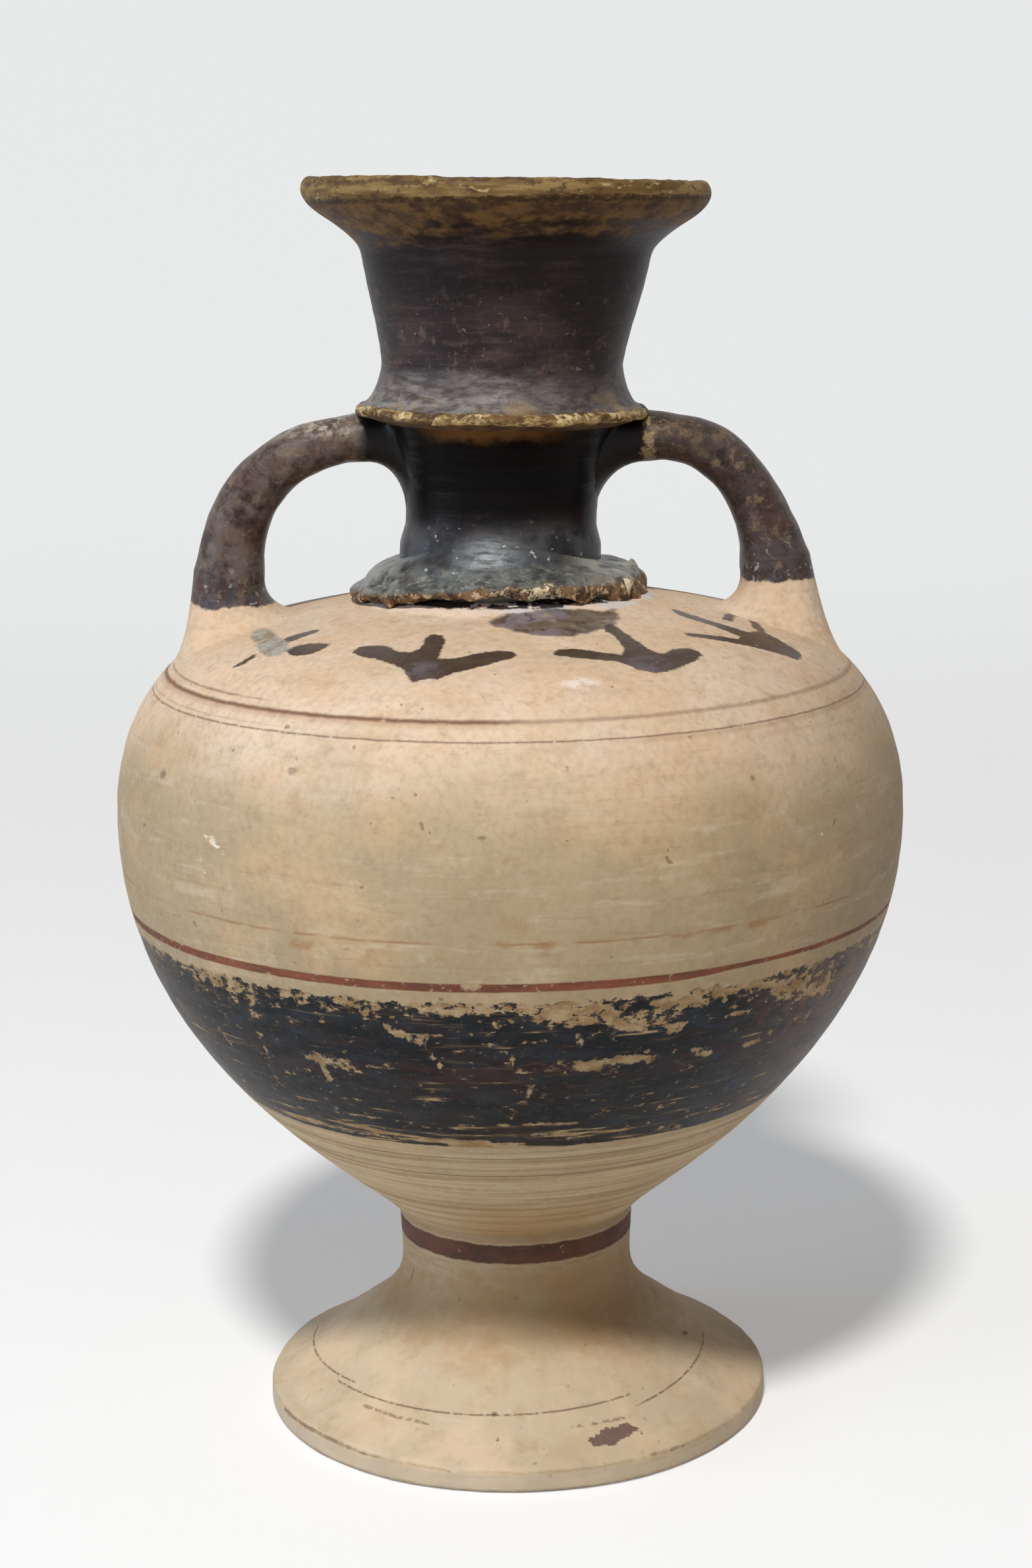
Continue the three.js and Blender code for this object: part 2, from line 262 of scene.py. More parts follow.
class Finish(Nodes):
    """A fired finish in the making: layers of colour, relief and gloss.

    Sizes are in millimetres, angles in degrees to the right of the front, colours in screen values.
    A factor is 0 to 1. A noise is its seed, size, detail, roughness and flatness.
    """

    def __init__(self, name, ground, roughness):
        self.material = bpy.data.materials.new(name)
        super().__init__(self.material)
        self.shader = self.tree.nodes["Principled BSDF"]
        self.place = self.node("ShaderNodeTexCoord").outputs["Object"]
        x, y, z = self.node("ShaderNodeSeparateXYZ", self.place).outputs
        self.height = self.both(z, 1 / MM)
        self.across = self.both(x, 1 / MM)
        self.angle = self.both(self.math("ARCTAN2", x, self.both(y, -1)), 180 / math.pi)
        self.colour = ground
        self.roughness = roughness
        self.relief = None

    def mix(self, factor, below, above):
        """One colour over another; each is three screen values or a socket."""
        node = self.node("ShaderNodeMix", data_type="RGBA")
        self.feed(node.inputs[0], factor)
        for i, colour in ((6, below), (7, above)):
            self.feed(node.inputs[i], hue(*colour) if isinstance(colour, tuple) else colour)
        return node.outputs[2]

    def grain(self, seed, size, detail=2, rough=0.5, flat=1):
        """Noise with features of that size in millimetres, flattened that many times in height."""
        move = (0.013 * seed, 0.007 * seed, 0.019 * seed)
        place = self.node("ShaderNodeMapping", self.place, move, None, (1, 1, flat))
        node = self.node("ShaderNodeTexNoise", place.outputs[0])
        for name, value in (("Scale", 1 / (size * MM)), ("Detail", detail), ("Roughness", rough)):
            node.inputs[name].default_value = value
        return node.outputs[0]

    def ramp(self, value, low, high):
        """0 at low, 1 at high, smooth in between; low may be the larger."""
        return self.node("ShaderNodeMapRange", value, low, high, interpolation_type="SMOOTHSTEP").outputs[0]

    def spots(self, low, high, *noise):
        """The ramp of a grain, which gets all but the first two numbers."""
        return self.ramp(self.grain(*noise), low, high)

    def inverse(self, factor):
        return self.math("SUBTRACT", 1, factor)

    def added(self, value, factor, amount):
        return self.math("MULTIPLY_ADD", factor, amount, value)

    def shifted(self, value, source, amount):
        """A value moved by noise, so that an edge wanders by up to that much."""
        return self.added(value, self.math("SUBTRACT", source, 0.5), 2 * amount)

    def level(self, source, wander):
        return self.shifted(self.height, source, wander)

    def strip(self, value, low, high, soft):
        """1 where a value lies between two bounds."""
        return self.both(self.ramp(value, low - soft, low + soft), self.ramp(value, high + soft, high - soft))

    def band(self, low, high, source, wander, soft=0.15):
        """The zone between two heights, with uneven edges."""
        return self.strip(self.level(source, wander), low, high, soft)

    def ring(self, at, half_width, source, wander=0.15, soft=0.12):
        return self.band(at - half_width, at + half_width, source, wander, soft)

    def marked(self, name, source, wander, soft=0.1, grow=0.0):
        """The inside of a mark that the mesh keeps, with its edge roughened."""
        distance = self.node("ShaderNodeAttribute", attribute_name=name).outputs["Fac"]
        return self.ramp(self.shifted(distance, source, wander), grow + soft, grow - soft)

    def lay(self, colour, *where):
        """Lays a colour over the rest, as strongly as the factors' product."""
        self.colour = self.mix(self.both(*where), self.colour, colour)

    def raised(self, factor, amount):
        """Adds to the relief, in millimetres."""
        step = self.both(factor, amount)
        self.relief = step if self.relief is None else self.math("ADD", self.relief, step)

    def gloss(self, factor, roughness):
        """Roughness that the surface has where the factor is 1."""
        gap = self.math("SUBTRACT", roughness, self.roughness)
        self.roughness = self.added(self.roughness, factor, gap)

    def done(self, specular):
        self.feed(self.shader.inputs["Base Color"], self.colour)
        self.feed(self.shader.inputs["Roughness"], self.roughness)
        self.shader.inputs["Specular IOR Level"].default_value = specular
        if self.relief is not None:
            bump = self.node("ShaderNodeBump")
            bump.inputs["Distance"].default_value = MM
            self.feed(bump.inputs["Height"], self.relief)
            self.feed(self.shader.inputs["Normal"], bump.outputs[0])
        return self.material


CLAY = (182, 161, 129)


def clay_body(f):
    """Buff clay with clouds, wheel streaks, fine grain and stains, pinker and lighter on the shoulder, partly
    painted light on the top that faces the lamps.
    """
    f.lay((171, 151, 119), f.spots(0.38, 0.64, 0, 34, 3))
    f.lay((206, 172, 132), f.spots(0.47, 0.68, 3, 19, 3, 0.6), 0.6)
    grey = f.spots(0.5, 0.72, 4, 8, 4, 0.65, 1.6)
    f.lay((164, 148, 120), grey, 0.42)
    f.lay((170, 132, 92), f.spots(0.56, 0.74, 6, 4.5, 3, 0.7), 0.4)
    # Pinker and lighter above the belly: partly the clay's own tone, partly painted light on the shoulder's
    # top
    upper = f.ramp(f.level(f.grain(27, 12, 2), 6), 85, 99)
    f.lay(f.mix(f.spots(0.35, 0.65, 28, 9, 3, 0.6), (233, 208, 184), (228, 196, 165)), upper, 0.74)
    streaks = f.spots(0.52, 0.74, 5, 16, 3, 0.6, 11)
    f.lay((160, 136, 104), streaks, 0.3)
    f.lay((210, 194, 168), f.spots(0.54, 0.74, 8, 13, 3, 0.6, 7), 0.42)
    f.lay((204, 188, 164), f.spots(0.56, 0.7, 10, 5, 4, 0.7, 1.4), 0.35)
    grain = f.grain(11, 0.9, 2, 0.6)
    f.lay((150, 128, 98), f.ramp(grain, 0.35, 0.8), 0.3)
    f.lay((140, 116, 88), f.spots(0.5, 0.72, 12, 2.2, 4, 0.75), 0.3)
    specks = f.spots(0.74, 0.79, 13, 1.9, 2, 0.6)
    f.lay((120, 92, 66), specks, 0.5)
    f.lay((112, 86, 62), f.spots(0.76, 0.8, 15, 1.3, 1, 0.4), 0.6)
    f.lay((158, 120, 78), f.spots(0.66, 0.78, 17, 9, 2, 0.6), 0.35)
    f.raised(grain, 0.04)
    f.raised(streaks, -0.03)
    f.raised(grey, -0.03)
    f.raised(specks, -0.08)


def painted_clay():
    f = Finish("painted_clay", CLAY, 0.62)
    clay_body(f)
    rough = f.grain(21, 2.2, 3, 0.65, 1.8)
    fine = f.grain(23, 0.8, 2, 0.6, 1.5)
    along = f.grain(25, 7, 3, 0.6, 4)

    # Grey-brown over the right side of belly and shoulder: painted shade of the side away from the lamps
    f.lay((132, 114, 92), f.strip(f.angle, 48, 125, 24), f.band(46, 102, along, 6, 5), 0.32)

    # White filler under the collar, painted shade in the gap under the collar's edge, and a pale spot on the
    # shoulder painted as a highlight
    lumpy = f.grain(29, 2.6, 3, 0.65)
    filler = f.both(f.ramp(f.level(lumpy, 0.8), 107.3, 107.7), 0.65)
    f.lay(f.mix(f.spots(0.45, 0.6, 30, 5, 2), (230, 206, 186), (208, 210, 214)), filler)
    # Near black just under the collar's edge: painted shade in the gap below it
    gap = f.both(f.ramp(f.level(lumpy, 0.3), 107.95, 108.1),
                 f.spots(0.46, 0.52, 32, 3.4, 3, 0.65))
    f.lay((16, 12, 12), gap, 0.96)
    f.raised(f.both(filler, lumpy), 0.3)
    # Pale spot on the front of the shoulder: a painted highlight
    f.lay((238, 226, 214), f.marked("painted_highlight_spot", rough, 0.8, 0.5), f.ramp(rough, 0.4, 0.6), 0.7)

    # Wheel lines and brown lines
    lower = f.ramp(f.height, 46.5, 45)
    turns = f.grain(31, 60, 3, 0.7, 60)
    f.lay((146, 116, 76), lower, f.ramp(turns, 0.48, 0.7), 0.5)
    f.lay((216, 196, 158), lower, f.ramp(turns, 0.6, 0.34), 0.5)
    f.raised(f.both(lower, turns), 0.12)
    brown = (104, 70, 50)
    left = f.ramp(f.angle, 5, -4)
    broken = f.ramp(along, 0.36, 0.5)
    worn_line = f.spots(0.16, 0.42, 26, 2.5, 3, 0.7, 3)
    strong = f.added(0.42, left, 0.45)
    f.lay((98, 60, 42), f.ring(98.95, 0.2, rough, 0.12, 0.18), strong, worn_line)
    f.lay((150, 104, 66), f.ring(98.6, 0.3, rough, 0.2, 0.3), left, 0.3)
    f.lay((92, 62, 48), f.ring(96.95, 0.08, rough, 0.1), f.ramp(fine, 0.26, 0.46), 0.8)
    f.lay((140, 108, 78), f.ring(96.6, 0.2, rough, 0.15, 0.3), f.ramp(f.angle, 0, 30), 0.3)
    f.lay(brown, f.ring(99.85, 0.07, rough), f.ramp(f.angle, -38, -46), broken, 0.75)
    f.lay(brown, f.ring(97.5, 0.05, rough), f.ramp(f.angle, -20, -60), broken, 0.5)
    f.lay(brown, f.ring(44.1, 0.1, rough, 0.1), 0.7)
    f.lay(brown, f.ring(40.8, 0.12, rough, 0.1), 0.6)
    for at in (42.6, 38.9, 37.2, 34.6, 31.8):
        f.lay((150, 116, 78), f.ring(at, 0.1, rough, 0.15), broken, 0.4)
    f.lay((156, 118, 72), f.ramp(f.height, 36, 30), f.strip(f.angle, -20, 36, 14), 0.5)
    f.lay((146, 100, 58), f.ring(74.7, 0.14, rough), f.ramp(along, 0.42, 0.6), 0.6)
    f.lay((140, 96, 60), f.ring(73.5, 0.1, rough), f.ramp(along, 0.56, 0.66), 0.5)
    f.lay((150, 118, 80), f.ring(71.8, 0.08, rough), f.ramp(along, 0.6, 0.45), 0.3)
    f.lay((150, 102, 56), f.marked("ochre_blot", rough, 0.9, 0.45), 0.6)

    # Dark red line round the belly
    thin = f.ramp(f.angle, 22, 34)
    red_low = f.added(68.85, thin, 0.42)
    height = f.level(rough, 0.1)
    red = f.both(f.ramp(f.math("SUBTRACT", height, red_low), -0.1, 0.1), f.ramp(height, 70.0, 69.8))
    red = f.both(red, f.ramp(fine, 0.22, 0.42), f.inverse(f.marked("red_gap", fine, 0.3)))
    f.lay(f.mix(f.ramp(along, 0.35, 0.65), (92, 42, 32), (126, 62, 42)), red, 0.9)

    # Black band: ragged above, flaked and streaked, greyer towards the right side
    edge = f.grain(33, 1.6, 3, 0.7)
    top = f.ramp(f.shifted(f.level(edge, 0.9), rough, 0.9), 67.45, 67.15)
    foot_edge = f.ramp(f.level(rough, 0.3), 46.15, 46.35)
    band = f.both(top, foot_edge)
    near_top = f.ramp(f.height, 62.5, 67.5)
    near_low = f.ramp(f.height, 50.8, 47.2)
    flakes = f.grain(35, 1.6, 4, 0.68, 1.7)
    streaks = f.grain(37, 9, 3, 0.55, 12)
    patchy = f.spots(0.42, 0.66, 39, 13, 2)
    zone = f.marked("loss_zone", f.grain(34, 3.5, 4, 0.7), 2.4, 1.0)
    loss = f.added(flakes, near_top, 0.11)
    loss = f.added(loss, patchy, 0.05)
    loss = f.added(loss, zone, 0.15)
    low_loss = f.added(streaks, f.either(near_low, f.both(near_top, 0.4)), 0.12)
    bare = f.either(f.ramp(loss, 0.66, 0.69), f.ramp(low_loss, 0.675, 0.7),
                    f.marked("bare_stroke", f.grain(36, 1.1, 3, 0.7), 0.5, 0.12, 0.05))
    thin = f.both(f.either(f.ramp(loss, 0.59, 0.665), f.ramp(low_loss, 0.6, 0.66)), 0.55)
    clay, f.colour = f.colour, f.mix(f.spots(0.4, 0.7, 41, 5, 3, 0.6, 3), (18, 20, 23), (38, 43, 49))
    f.lay((48, 34, 32), f.spots(0.5, 0.64, 43, 12, 3, 0.6, 8), 0.45)
    f.lay((58, 57, 56), f.spots(0.52, 0.7, 38, 1.5, 4, 0.75), 0.35)
    f.lay((50, 62, 84), f.spots(0.55, 0.68, 40, 4, 3, 0.6, 3), f.ramp(f.angle, 18, 34), 0.5)
    rust = f.both(f.ramp(f.angle, 34, 48), f.ramp(f.height, 57, 61), f.spots(0.46, 0.58, 42, 3.2, 4, 0.7))
    f.lay((112, 72, 48), rust, 0.8)
    f.lay((64, 36, 32), f.band(56, 59, rough, 0.8, 0.6), f.ramp(along, 0.42, 0.6), 0.5)
    sides = f.either(f.ramp(f.angle, 30, 62), f.ramp(f.angle, -46, -72))
    f.lay((100, 86, 74), sides, f.spots(0.3, 0.62, 45, 6, 3, 0.65, 2.2), 0.62)
    f.lay((84, 80, 74), f.ramp(fine, 0.6, 0.8), 0.35)
    f.lay((92, 76, 58), thin)
    slip, f.colour = f.colour, clay
    covered = f.both(band, f.inverse(f.both(bare, 0.93)))
    f.lay(f.mix(f.ramp(rough, 0.35, 0.65), (150, 118, 78), (182, 158, 122)), band, bare)
    f.lay(slip, covered)
    f.raised(covered, 0.06)
    f.gloss(covered, 0.46)

    # Sprigs on the shoulder, glaze smeared under the collar
    smear = f.marked("smear", rough, 1.1, 0.4)
    mottle = f.grain(47, 2.8, 4, 0.72)
    f.lay(f.mix(f.ramp(mottle, 0.36, 0.6), (52, 42, 34), (98, 86, 74)), smear, 0.88)
    f.lay((136, 124, 132), smear, f.spots(0.5, 0.6, 50, 4, 2), 0.6)
    f.lay((162, 142, 112), smear, f.ramp(rough, 0.58, 0.68), 0.7)
    f.lay((62, 48, 50), smear, f.spots(0.62, 0.72, 48, 1.8, 2), 0.7)
    sprig = f.both(f.marked("sprig", fine, 0.4, 0.2), f.ramp(fine, 0.14, 0.32))
    leaf = f.mix(f.spots(0.42, 0.62, 49, 3, 3, 0.65), (52, 32, 26), (62, 50, 38))
    pool = f.both(f.marked("glaze_pool", rough, 1.0, 1.0), f.ramp(mottle, 0.35, 0.6), 0.75)
    f.lay(f.mix(pool, leaf, (96, 88, 98)), sprig, 0.94)
    dusty = f.mix(f.ramp(mottle, 0.4, 0.58), (104, 100, 82), (150, 154, 150))
    f.lay(dusty, f.marked("pale_sprig", fine, 0.7, 0.35), 0.75)
    f.gloss(f.either(sprig, smear), 0.35)
    f.raised(f.either(sprig, smear), 0.04)

    # Knocks and scratches
    f.lay((232, 218, 192), f.marked("pale_scratch", fine, 0.5, 0.12, 0.05), 0.9)
    f.lay((112, 92, 78), f.marked("dark_spot", fine, 0.3, 0.2), 0.65)
    f.raised(f.marked("pale_scratch", fine, 0.3), -0.12)
    return f.done(specular=0.15)


# Lines scratched into the foot: from angle, to angle, height at the first, rise per degree
CUT_LINES = [(-60, 34, 6.7, 0.011), (34, 84, 6.7, 0.028), (-104, -53, 5.9, 0.028)]


def pale_clay():
    f = Finish("pale_clay", CLAY, 0.66)
    clay_body(f)
    rough = f.grain(51, 2, 3, 0.65)
    fine = f.grain(53, 0.7, 2, 0.6)
    along = f.grain(55, 6, 3, 0.6, 3)
    f.lay((226, 207, 180), f.ramp(f.height, 17, 9), 0.4)
    f.lay((170, 140, 102), f.spots(0.5, 0.7, 52, 3.2, 4, 0.72), 0.4)
    f.lay((178, 152, 116), f.spots(0.52, 0.68, 54, 11, 3, 0.6), 0.3)
    f.lay((222, 194, 162), f.spots(0.45, 0.65, 57, 7, 3, 0.6), f.ramp(f.height, 14, 6), 0.45)
    stem = f.both(f.band(23.1, 25.65, rough, 0.3), f.ramp(fine, 0.16, 0.34))
    f.lay(f.mix(f.ramp(along, 0.4, 0.6), (58, 24, 24), (86, 42, 36)), stem, 0.9)
    f.lay((120, 80, 58), f.ring(22.5, 0.14, rough), f.ramp(along, 0.42, 0.58), 0.55)
    f.lay((150, 112, 78), f.band(25.9, 27.6, rough, 0.3), 0.45)
    cuts = []
    for start, end, low, rise in CUT_LINES:
        level = f.added(f.level(rough, 0.07), f.angle, -rise)
        middle = low - rise * start
        line = f.strip(level, middle - 0.06, middle + 0.06, 0.05)
        cuts.append(f.both(line, f.strip(f.angle, start, end, 1)))
    cut = f.both(f.either(*cuts), f.ramp(fine, 0.32, 0.52))
    f.lay((102, 76, 56), cut, 0.7)
    f.raised(cut, -0.12)
    row = f.both(f.ring(6.05, 0.12, rough, 0.14, 0.08),
                 f.either(f.strip(f.angle, -45, -22, 1), f.strip(f.angle, 14, 32, 1)))
    f.lay((120, 90, 66), row, f.spots(0.44, 0.56, 58, 0.9, 2), 0.65)
    chip = f.marked("rim_line", rough, 0.5, 0.15)
    f.lay((112, 84, 60), chip, 0.7)
    f.raised(chip, -0.14)
    f.lay((150, 122, 88), f.ring(2.75, 0.12, rough, 0.25, 0.2), f.ramp(along, 0.35, 0.55), 0.5)
    f.lay((190, 176, 156), f.ramp(f.level(rough, 0.4), 2.5, 2.0), 0.4)
    # Darker at the very bottom of the rim: painted shade where the foot meets the floor
    f.lay((112, 96, 76), f.ramp(f.level(rough, 0.4), 0.7, 0.1), 0.55)
    f.lay((98, 70, 68), f.marked("purple_spot", fine, 0.5, 0.1), f.ramp(fine, 0.2, 0.36), 0.88)
    f.lay((84, 64, 50), f.marked("dark_spot", fine, 0.2, 0.15), 0.8)
    # Ochre and darker round the stem: partly stain, partly painted shade under the belly
    f.lay((168, 126, 80), f.band(11, 22, rough, 2, 2), f.spots(0.46, 0.62, 59, 10, 3, 0.6), 0.4)
    f.lay((160, 128, 88), f.strip(f.height, 13, 21.5, 1.5), 0.42)
    return f.done(specular=0.2)


def slip_body(f, wear=0.0):
    """Brown-black slip with a purple cast, pale bloom, streaks and specks."""
    f.lay((66, 51, 49), f.spots(0.4, 0.68, 61, 9, 3, 0.6, 3))
    f.lay((86, 70, 68), f.spots(0.5, 0.7, 63, 5, 3, 0.6, 7), 0.5)
    f.lay((108, 92, 80), f.spots(0.58, 0.76, 65, 1.3, 3, 0.7), 0.6)
    fine = f.grain(67, 0.7, 3, 0.7)
    f.lay((118, 104, 94), f.ramp(fine, 0.56, 0.78), 0.4)
    f.lay((30, 23, 24), f.spots(0.42, 0.3, 68, 2.2, 4, 0.75), 0.7)
    worn = f.ramp(f.math("ADD", f.grain(69, 6, 4, 0.7), wear), 0.62, 0.74)
    f.lay((118, 98, 68), worn, 0.6)
    f.raised(fine, 0.04)
    f.raised(f.grain(71, 3, 3), 0.08)
    f.raised(worn, -0.05)
    f.gloss(worn, 0.55)
    return fine


def neck_sheen_and_shade(f):
    """Greyish tone of the neck's lower part, partly bloom and partly painted sheen, with a painted highlight
    in front and painted shade above, the same on the neck and the collar.
    """
    slip_body(f, -0.07)
    low = f.ramp(f.level(f.grain(73, 4, 2), 1.5), 120, 114.5)
    sheen = f.mix(f.spots(0.4, 0.6, 74, 5, 3, 0.6), (46, 47, 50), (82, 86, 88))
    f.lay(sheen, low, 0.75)
    streaky = f.spots(0.34, 0.6, 75, 3, 3, 0.65, 5)
    # Pale streaks low on the front of the neck: a painted highlight
    f.lay((158, 164, 166), f.strip(f.angle, -20, 4, 14), f.strip(f.height, 111.8, 115.5, 2.2), streaky, 0.75)
    f.lay((196, 194, 184), low, f.spots(0.66, 0.74, 76, 1.0, 2, 0.6), 0.8)
    # Near black above: dark slip that also paints the ridge's shade on the neck
    f.lay((9, 7, 7), f.ramp(f.height, 115.5, 120), 0.97)


def neck_slip():
    f = Finish("neck_slip", (34, 31, 33), 0.32)
    neck_sheen_and_shade(f)
    under = f.ramp(f.level(f.grain(72, 3, 3, 0.7), 1.6), 127.4, 129.2)
    f.lay((104, 70, 36), under, f.strip(f.angle, -36, 24, 16), 0.85)
    f.raised(f.grain(75, 40, 2, 0.6, 45), 0.09)
    return f.done(specular=0.06)


def collar_slip():
    f = Finish("collar_slip", (34, 31, 33), 0.36)
    neck_sheen_and_shade(f)
    rough = f.grain(77, 2.6, 3, 0.65)
    fine = f.grain(79, 0.7, 3, 0.7)
    brim = f.ramp(f.level(rough, 1.2), 113.2, 111.6)
    f.lay((112, 115, 108), brim, f.ramp(rough, 0.34, 0.62), 0.7)
    f.lay((152, 150, 136), brim, f.spots(0.48, 0.64, 78, 1.6, 4, 0.75), 0.6)
    f.lay((56, 48, 42), brim, f.spots(0.52, 0.66, 81, 4.5, 4, 0.7), 0.7)
    f.lay((164, 160, 146), f.ramp(f.angle, 24, 60), f.spots(0.42, 0.56, 80, 3.5, 3, 0.65), 0.6)
    f.lay((150, 142, 136), f.ramp(f.angle, -40, -80), f.ramp(rough, 0.4, 0.6), 0.55)
    edge = f.marked("edge_band", rough, 0.9, 0.35)
    f.lay(f.mix(f.spots(0.4, 0.58, 82, 2.0, 3, 0.7), (64, 44, 32), (128, 98, 66)), edge, 0.92)
    f.lay((206, 178, 146), edge, f.spots(0.54, 0.62, 84, 1.1, 3, 0.7), 0.9)
    crust = f.both(f.marked("crust", rough, 1.6, 0.2), f.spots(0.4, 0.48, 88, 1.4, 3, 0.7))
    f.lay(f.mix(f.ramp(fine, 0.35, 0.6), (196, 168, 124), (236, 220, 190)), crust, 0.95)
    f.raised(crust, 0.3)
    f.raised(rough, 0.2)
    f.gloss(f.either(edge, crust), 0.6)
    return f.done(specular=0.16)


def bloom_and_sheen(f):
    """Whitish bloom that runs from the ridge up onto the mouth, the same on both pieces; stronger at the
    front and left, where it is partly a painted sheen.
    """
    reach = f.level(f.grain(92, 7, 4, 0.6, 2.6), 3.4)
    tone = f.mix(f.spots(0.35, 0.65, 94, 2.6, 4, 0.7, 3.5), (94, 86, 83), (168, 163, 157))
    thick = f.added(0.2, f.strip(f.angle, -75, 14, 22), 0.34)
    f.lay(tone, f.ramp(reach, 137.6, 132.8), thick)
    f.lay((146, 122, 84), f.ramp(reach, 134.6, 131.6), f.spots(0.42, 0.6, 100, 3, 3, 0.7), 0.6)


def ridge_slip():
    f = Finish("ridge_slip", (42, 34, 35), 0.42)
    slip_body(f, -0.05)
    bloom_and_sheen(f)
    rough = f.grain(81, 2.0, 3, 0.7)
    chips = f.grain(84, 2.4, 4, 0.7, 2)
    under = f.ramp(f.height, 130.9, 130.2)
    f.lay(f.mix(f.ramp(chips, 0.4, 0.6), (44, 30, 22), (96, 70, 42)), under, 0.85)
    edge = f.marked("edge_band", rough, 0.7, 0.2)
    f.lay(f.mix(f.ramp(chips, 0.4, 0.62), (104, 76, 42), (190, 164, 112)), edge, 0.95)
    f.lay((64, 46, 32), edge, f.spots(0.48, 0.4, 83, 2.6, 4, 0.7), 0.8)
    f.lay((216, 192, 146), edge, f.spots(0.56, 0.64, 86, 2.2, 3, 0.65), 0.8)
    f.raised(rough, 0.15)
    f.raised(f.both(edge, chips), 0.3)
    f.gloss(f.either(edge, under), 0.62)
    return f.done(specular=0.15)


def mouth_slip():
    f = Finish("mouth_slip", (42, 34, 35), 0.42)
    fine = slip_body(f, -0.05)
    rough = f.grain(85, 2.4, 3, 0.65, 1.6)
    along = f.grain(87, 9, 3, 0.6, 6)
    # Darker slip up towards the lip, also painted shade under the lip's overhang
    f.lay((24, 18, 17), f.ramp(f.height, 140, 149), f.ramp(along, 0.76, 0.46), 0.85)
    # Darker on the right side of the mouth: painted shade
    f.lay((22, 16, 14), f.strip(f.angle, 28, 110, 20), f.ramp(f.height, 136, 142), 0.6)
    bloom_and_sheen(f)
    f.lay((156, 140, 128), f.ramp(f.height, 150, 141), f.spots(0.65, 0.74, 89, 1.1, 3, 0.6), 0.6)
    f.lay((116, 94, 84), f.ramp(f.height, 150, 142), f.spots(0.6, 0.7, 90, 3.4, 3, 0.7), 0.4)
    height = f.math("ADD", f.height, f.both(f.ramp(f.angle, -8, -45), 1.3))
    faded = f.ramp(f.shifted(f.shifted(height, along, 2.6), rough, 1.6), 152.6, 154.6)
    patchy = f.mix(f.ramp(rough, 0.35, 0.62), (66, 46, 30), (112, 84, 50))
    patchy = f.mix(f.both(f.spots(0.5, 0.64, 88, 6, 4, 0.7, 3), 0.7), patchy, (62, 46, 42))
    f.lay(patchy, faded, 0.92)
    lip = f.ramp(f.level(rough, 0.5), 156.7, 157.3)
    f.lay(f.mix(f.ramp(along, 0.42, 0.62), (104, 80, 46), (146, 120, 76)), lip, 0.94)
    f.lay((190, 168, 120), lip, f.spots(0.6, 0.68, 86, 2.4, 3, 0.65, 2.5), 0.7)
    f.lay((52, 36, 24), f.ring(156.9, 0.3, rough, 0.5), f.ramp(fine, 0.38, 0.52), 0.8)
    worn_top = f.grain(91, 2.2, 4, 0.75, 2)
    f.lay((70, 52, 36), lip, f.ramp(worn_top, 0.54, 0.62), 0.8)
    f.lay((74, 56, 40), f.ramp(f.height, 158.5, 159.0), f.ramp(worn_top, 0.44, 0.52), 0.75)
    f.raised(f.grain(93, 50, 2, 0.7, 55), 0.1)
    f.raised(f.both(lip, worn_top), 0.2)
    f.gloss(f.either(faded, lip), 0.6)
    return f.done(specular=0.12)


def handle_slip(name, slip_end, tilt, butt, pale_veil_and_light):
    """Worn slip down to a height that rises by tilt, clay below; a pale edge at the butt, if any; a pale veil
    that is partly painted light; near black at the neck end, a painted shadow of the ridge.
    """
    f = Finish(name, CLAY, 0.4)
    clay_body(f)
    clay, f.colour = f.colour, (54, 42, 38)
    slip_body(f, 0.0)
    # Pale veil, stronger on the left handle: partly bloom, partly painted light on the side the lamps reach
    f.lay((118, 105, 97), f.spots(0.36, 0.6, 92, 3.2, 4, 0.75), pale_veil_and_light)
    f.lay((40, 31, 29), f.spots(0.5, 0.64, 89, 2.4, 4, 0.75), 0.75)
    f.lay((134, 112, 88), f.spots(0.54, 0.66, 88, 1.5, 4, 0.75), 0.6)
    rough = f.grain(95, 2.6, 3, 0.65)
    f.lay((112, 92, 86), f.spots(0.56, 0.7, 97, 4, 4, 0.7), 0.5)
    f.lay((136, 114, 80), f.ramp(f.height, 123, 130), f.spots(0.5, 0.62, 99, 3, 4, 0.75), 0.5)
    f.lay((78, 52, 44), f.spots(0.5, 0.66, 94, 8, 3, 0.6), 0.45)
    low = f.ramp(f.height, slip_end + 8, slip_end + 1)
    f.lay((72, 76, 84), low, f.spots(0.46, 0.58, 96, 2, 3, 0.7), 0.5)
    f.lay((170, 164, 160), low, f.spots(0.62, 0.7, 98, 1.4, 2, 0.6), 0.7)
    # Near black where the handle's end runs in under the ridge: a painted shadow of the ridge
    out = f.shifted(f.math("ABSOLUTE", f.across), rough, 0.6)
    f.lay((10, 8, 8), f.ramp(out, 18.8, 16.8), 0.96)
    ragged = f.shifted(f.across, f.grain(90, 1.8, 3, 0.7), 1.6)
    if butt:
        crust = f.both(f.strip(ragged, butt - 0.8, butt + 0.5, 0.3), f.ramp(rough, 0.4, 0.5))
        f.lay((160, 138, 104), crust, 0.7)
        f.raised(crust, 0.15)
    else:
        dust = f.both(f.strip(ragged, -30, -18.5, 1), f.ramp(f.height, 127.5, 129.3))
        f.lay((190, 178, 162), dust, f.spots(0.44, 0.58, 91, 2.4, 4, 0.75), 0.7)
    bound = f.added(f.level(rough, 0.9), f.across, -tilt)
    bare = f.ramp(bound, slip_end + 0.2, slip_end - 0.2)
    f.lay(clay, bare)
    f.gloss(bare, 0.62)
    f.raised(rough, 0.12)
    return f.done(specular=0.15)


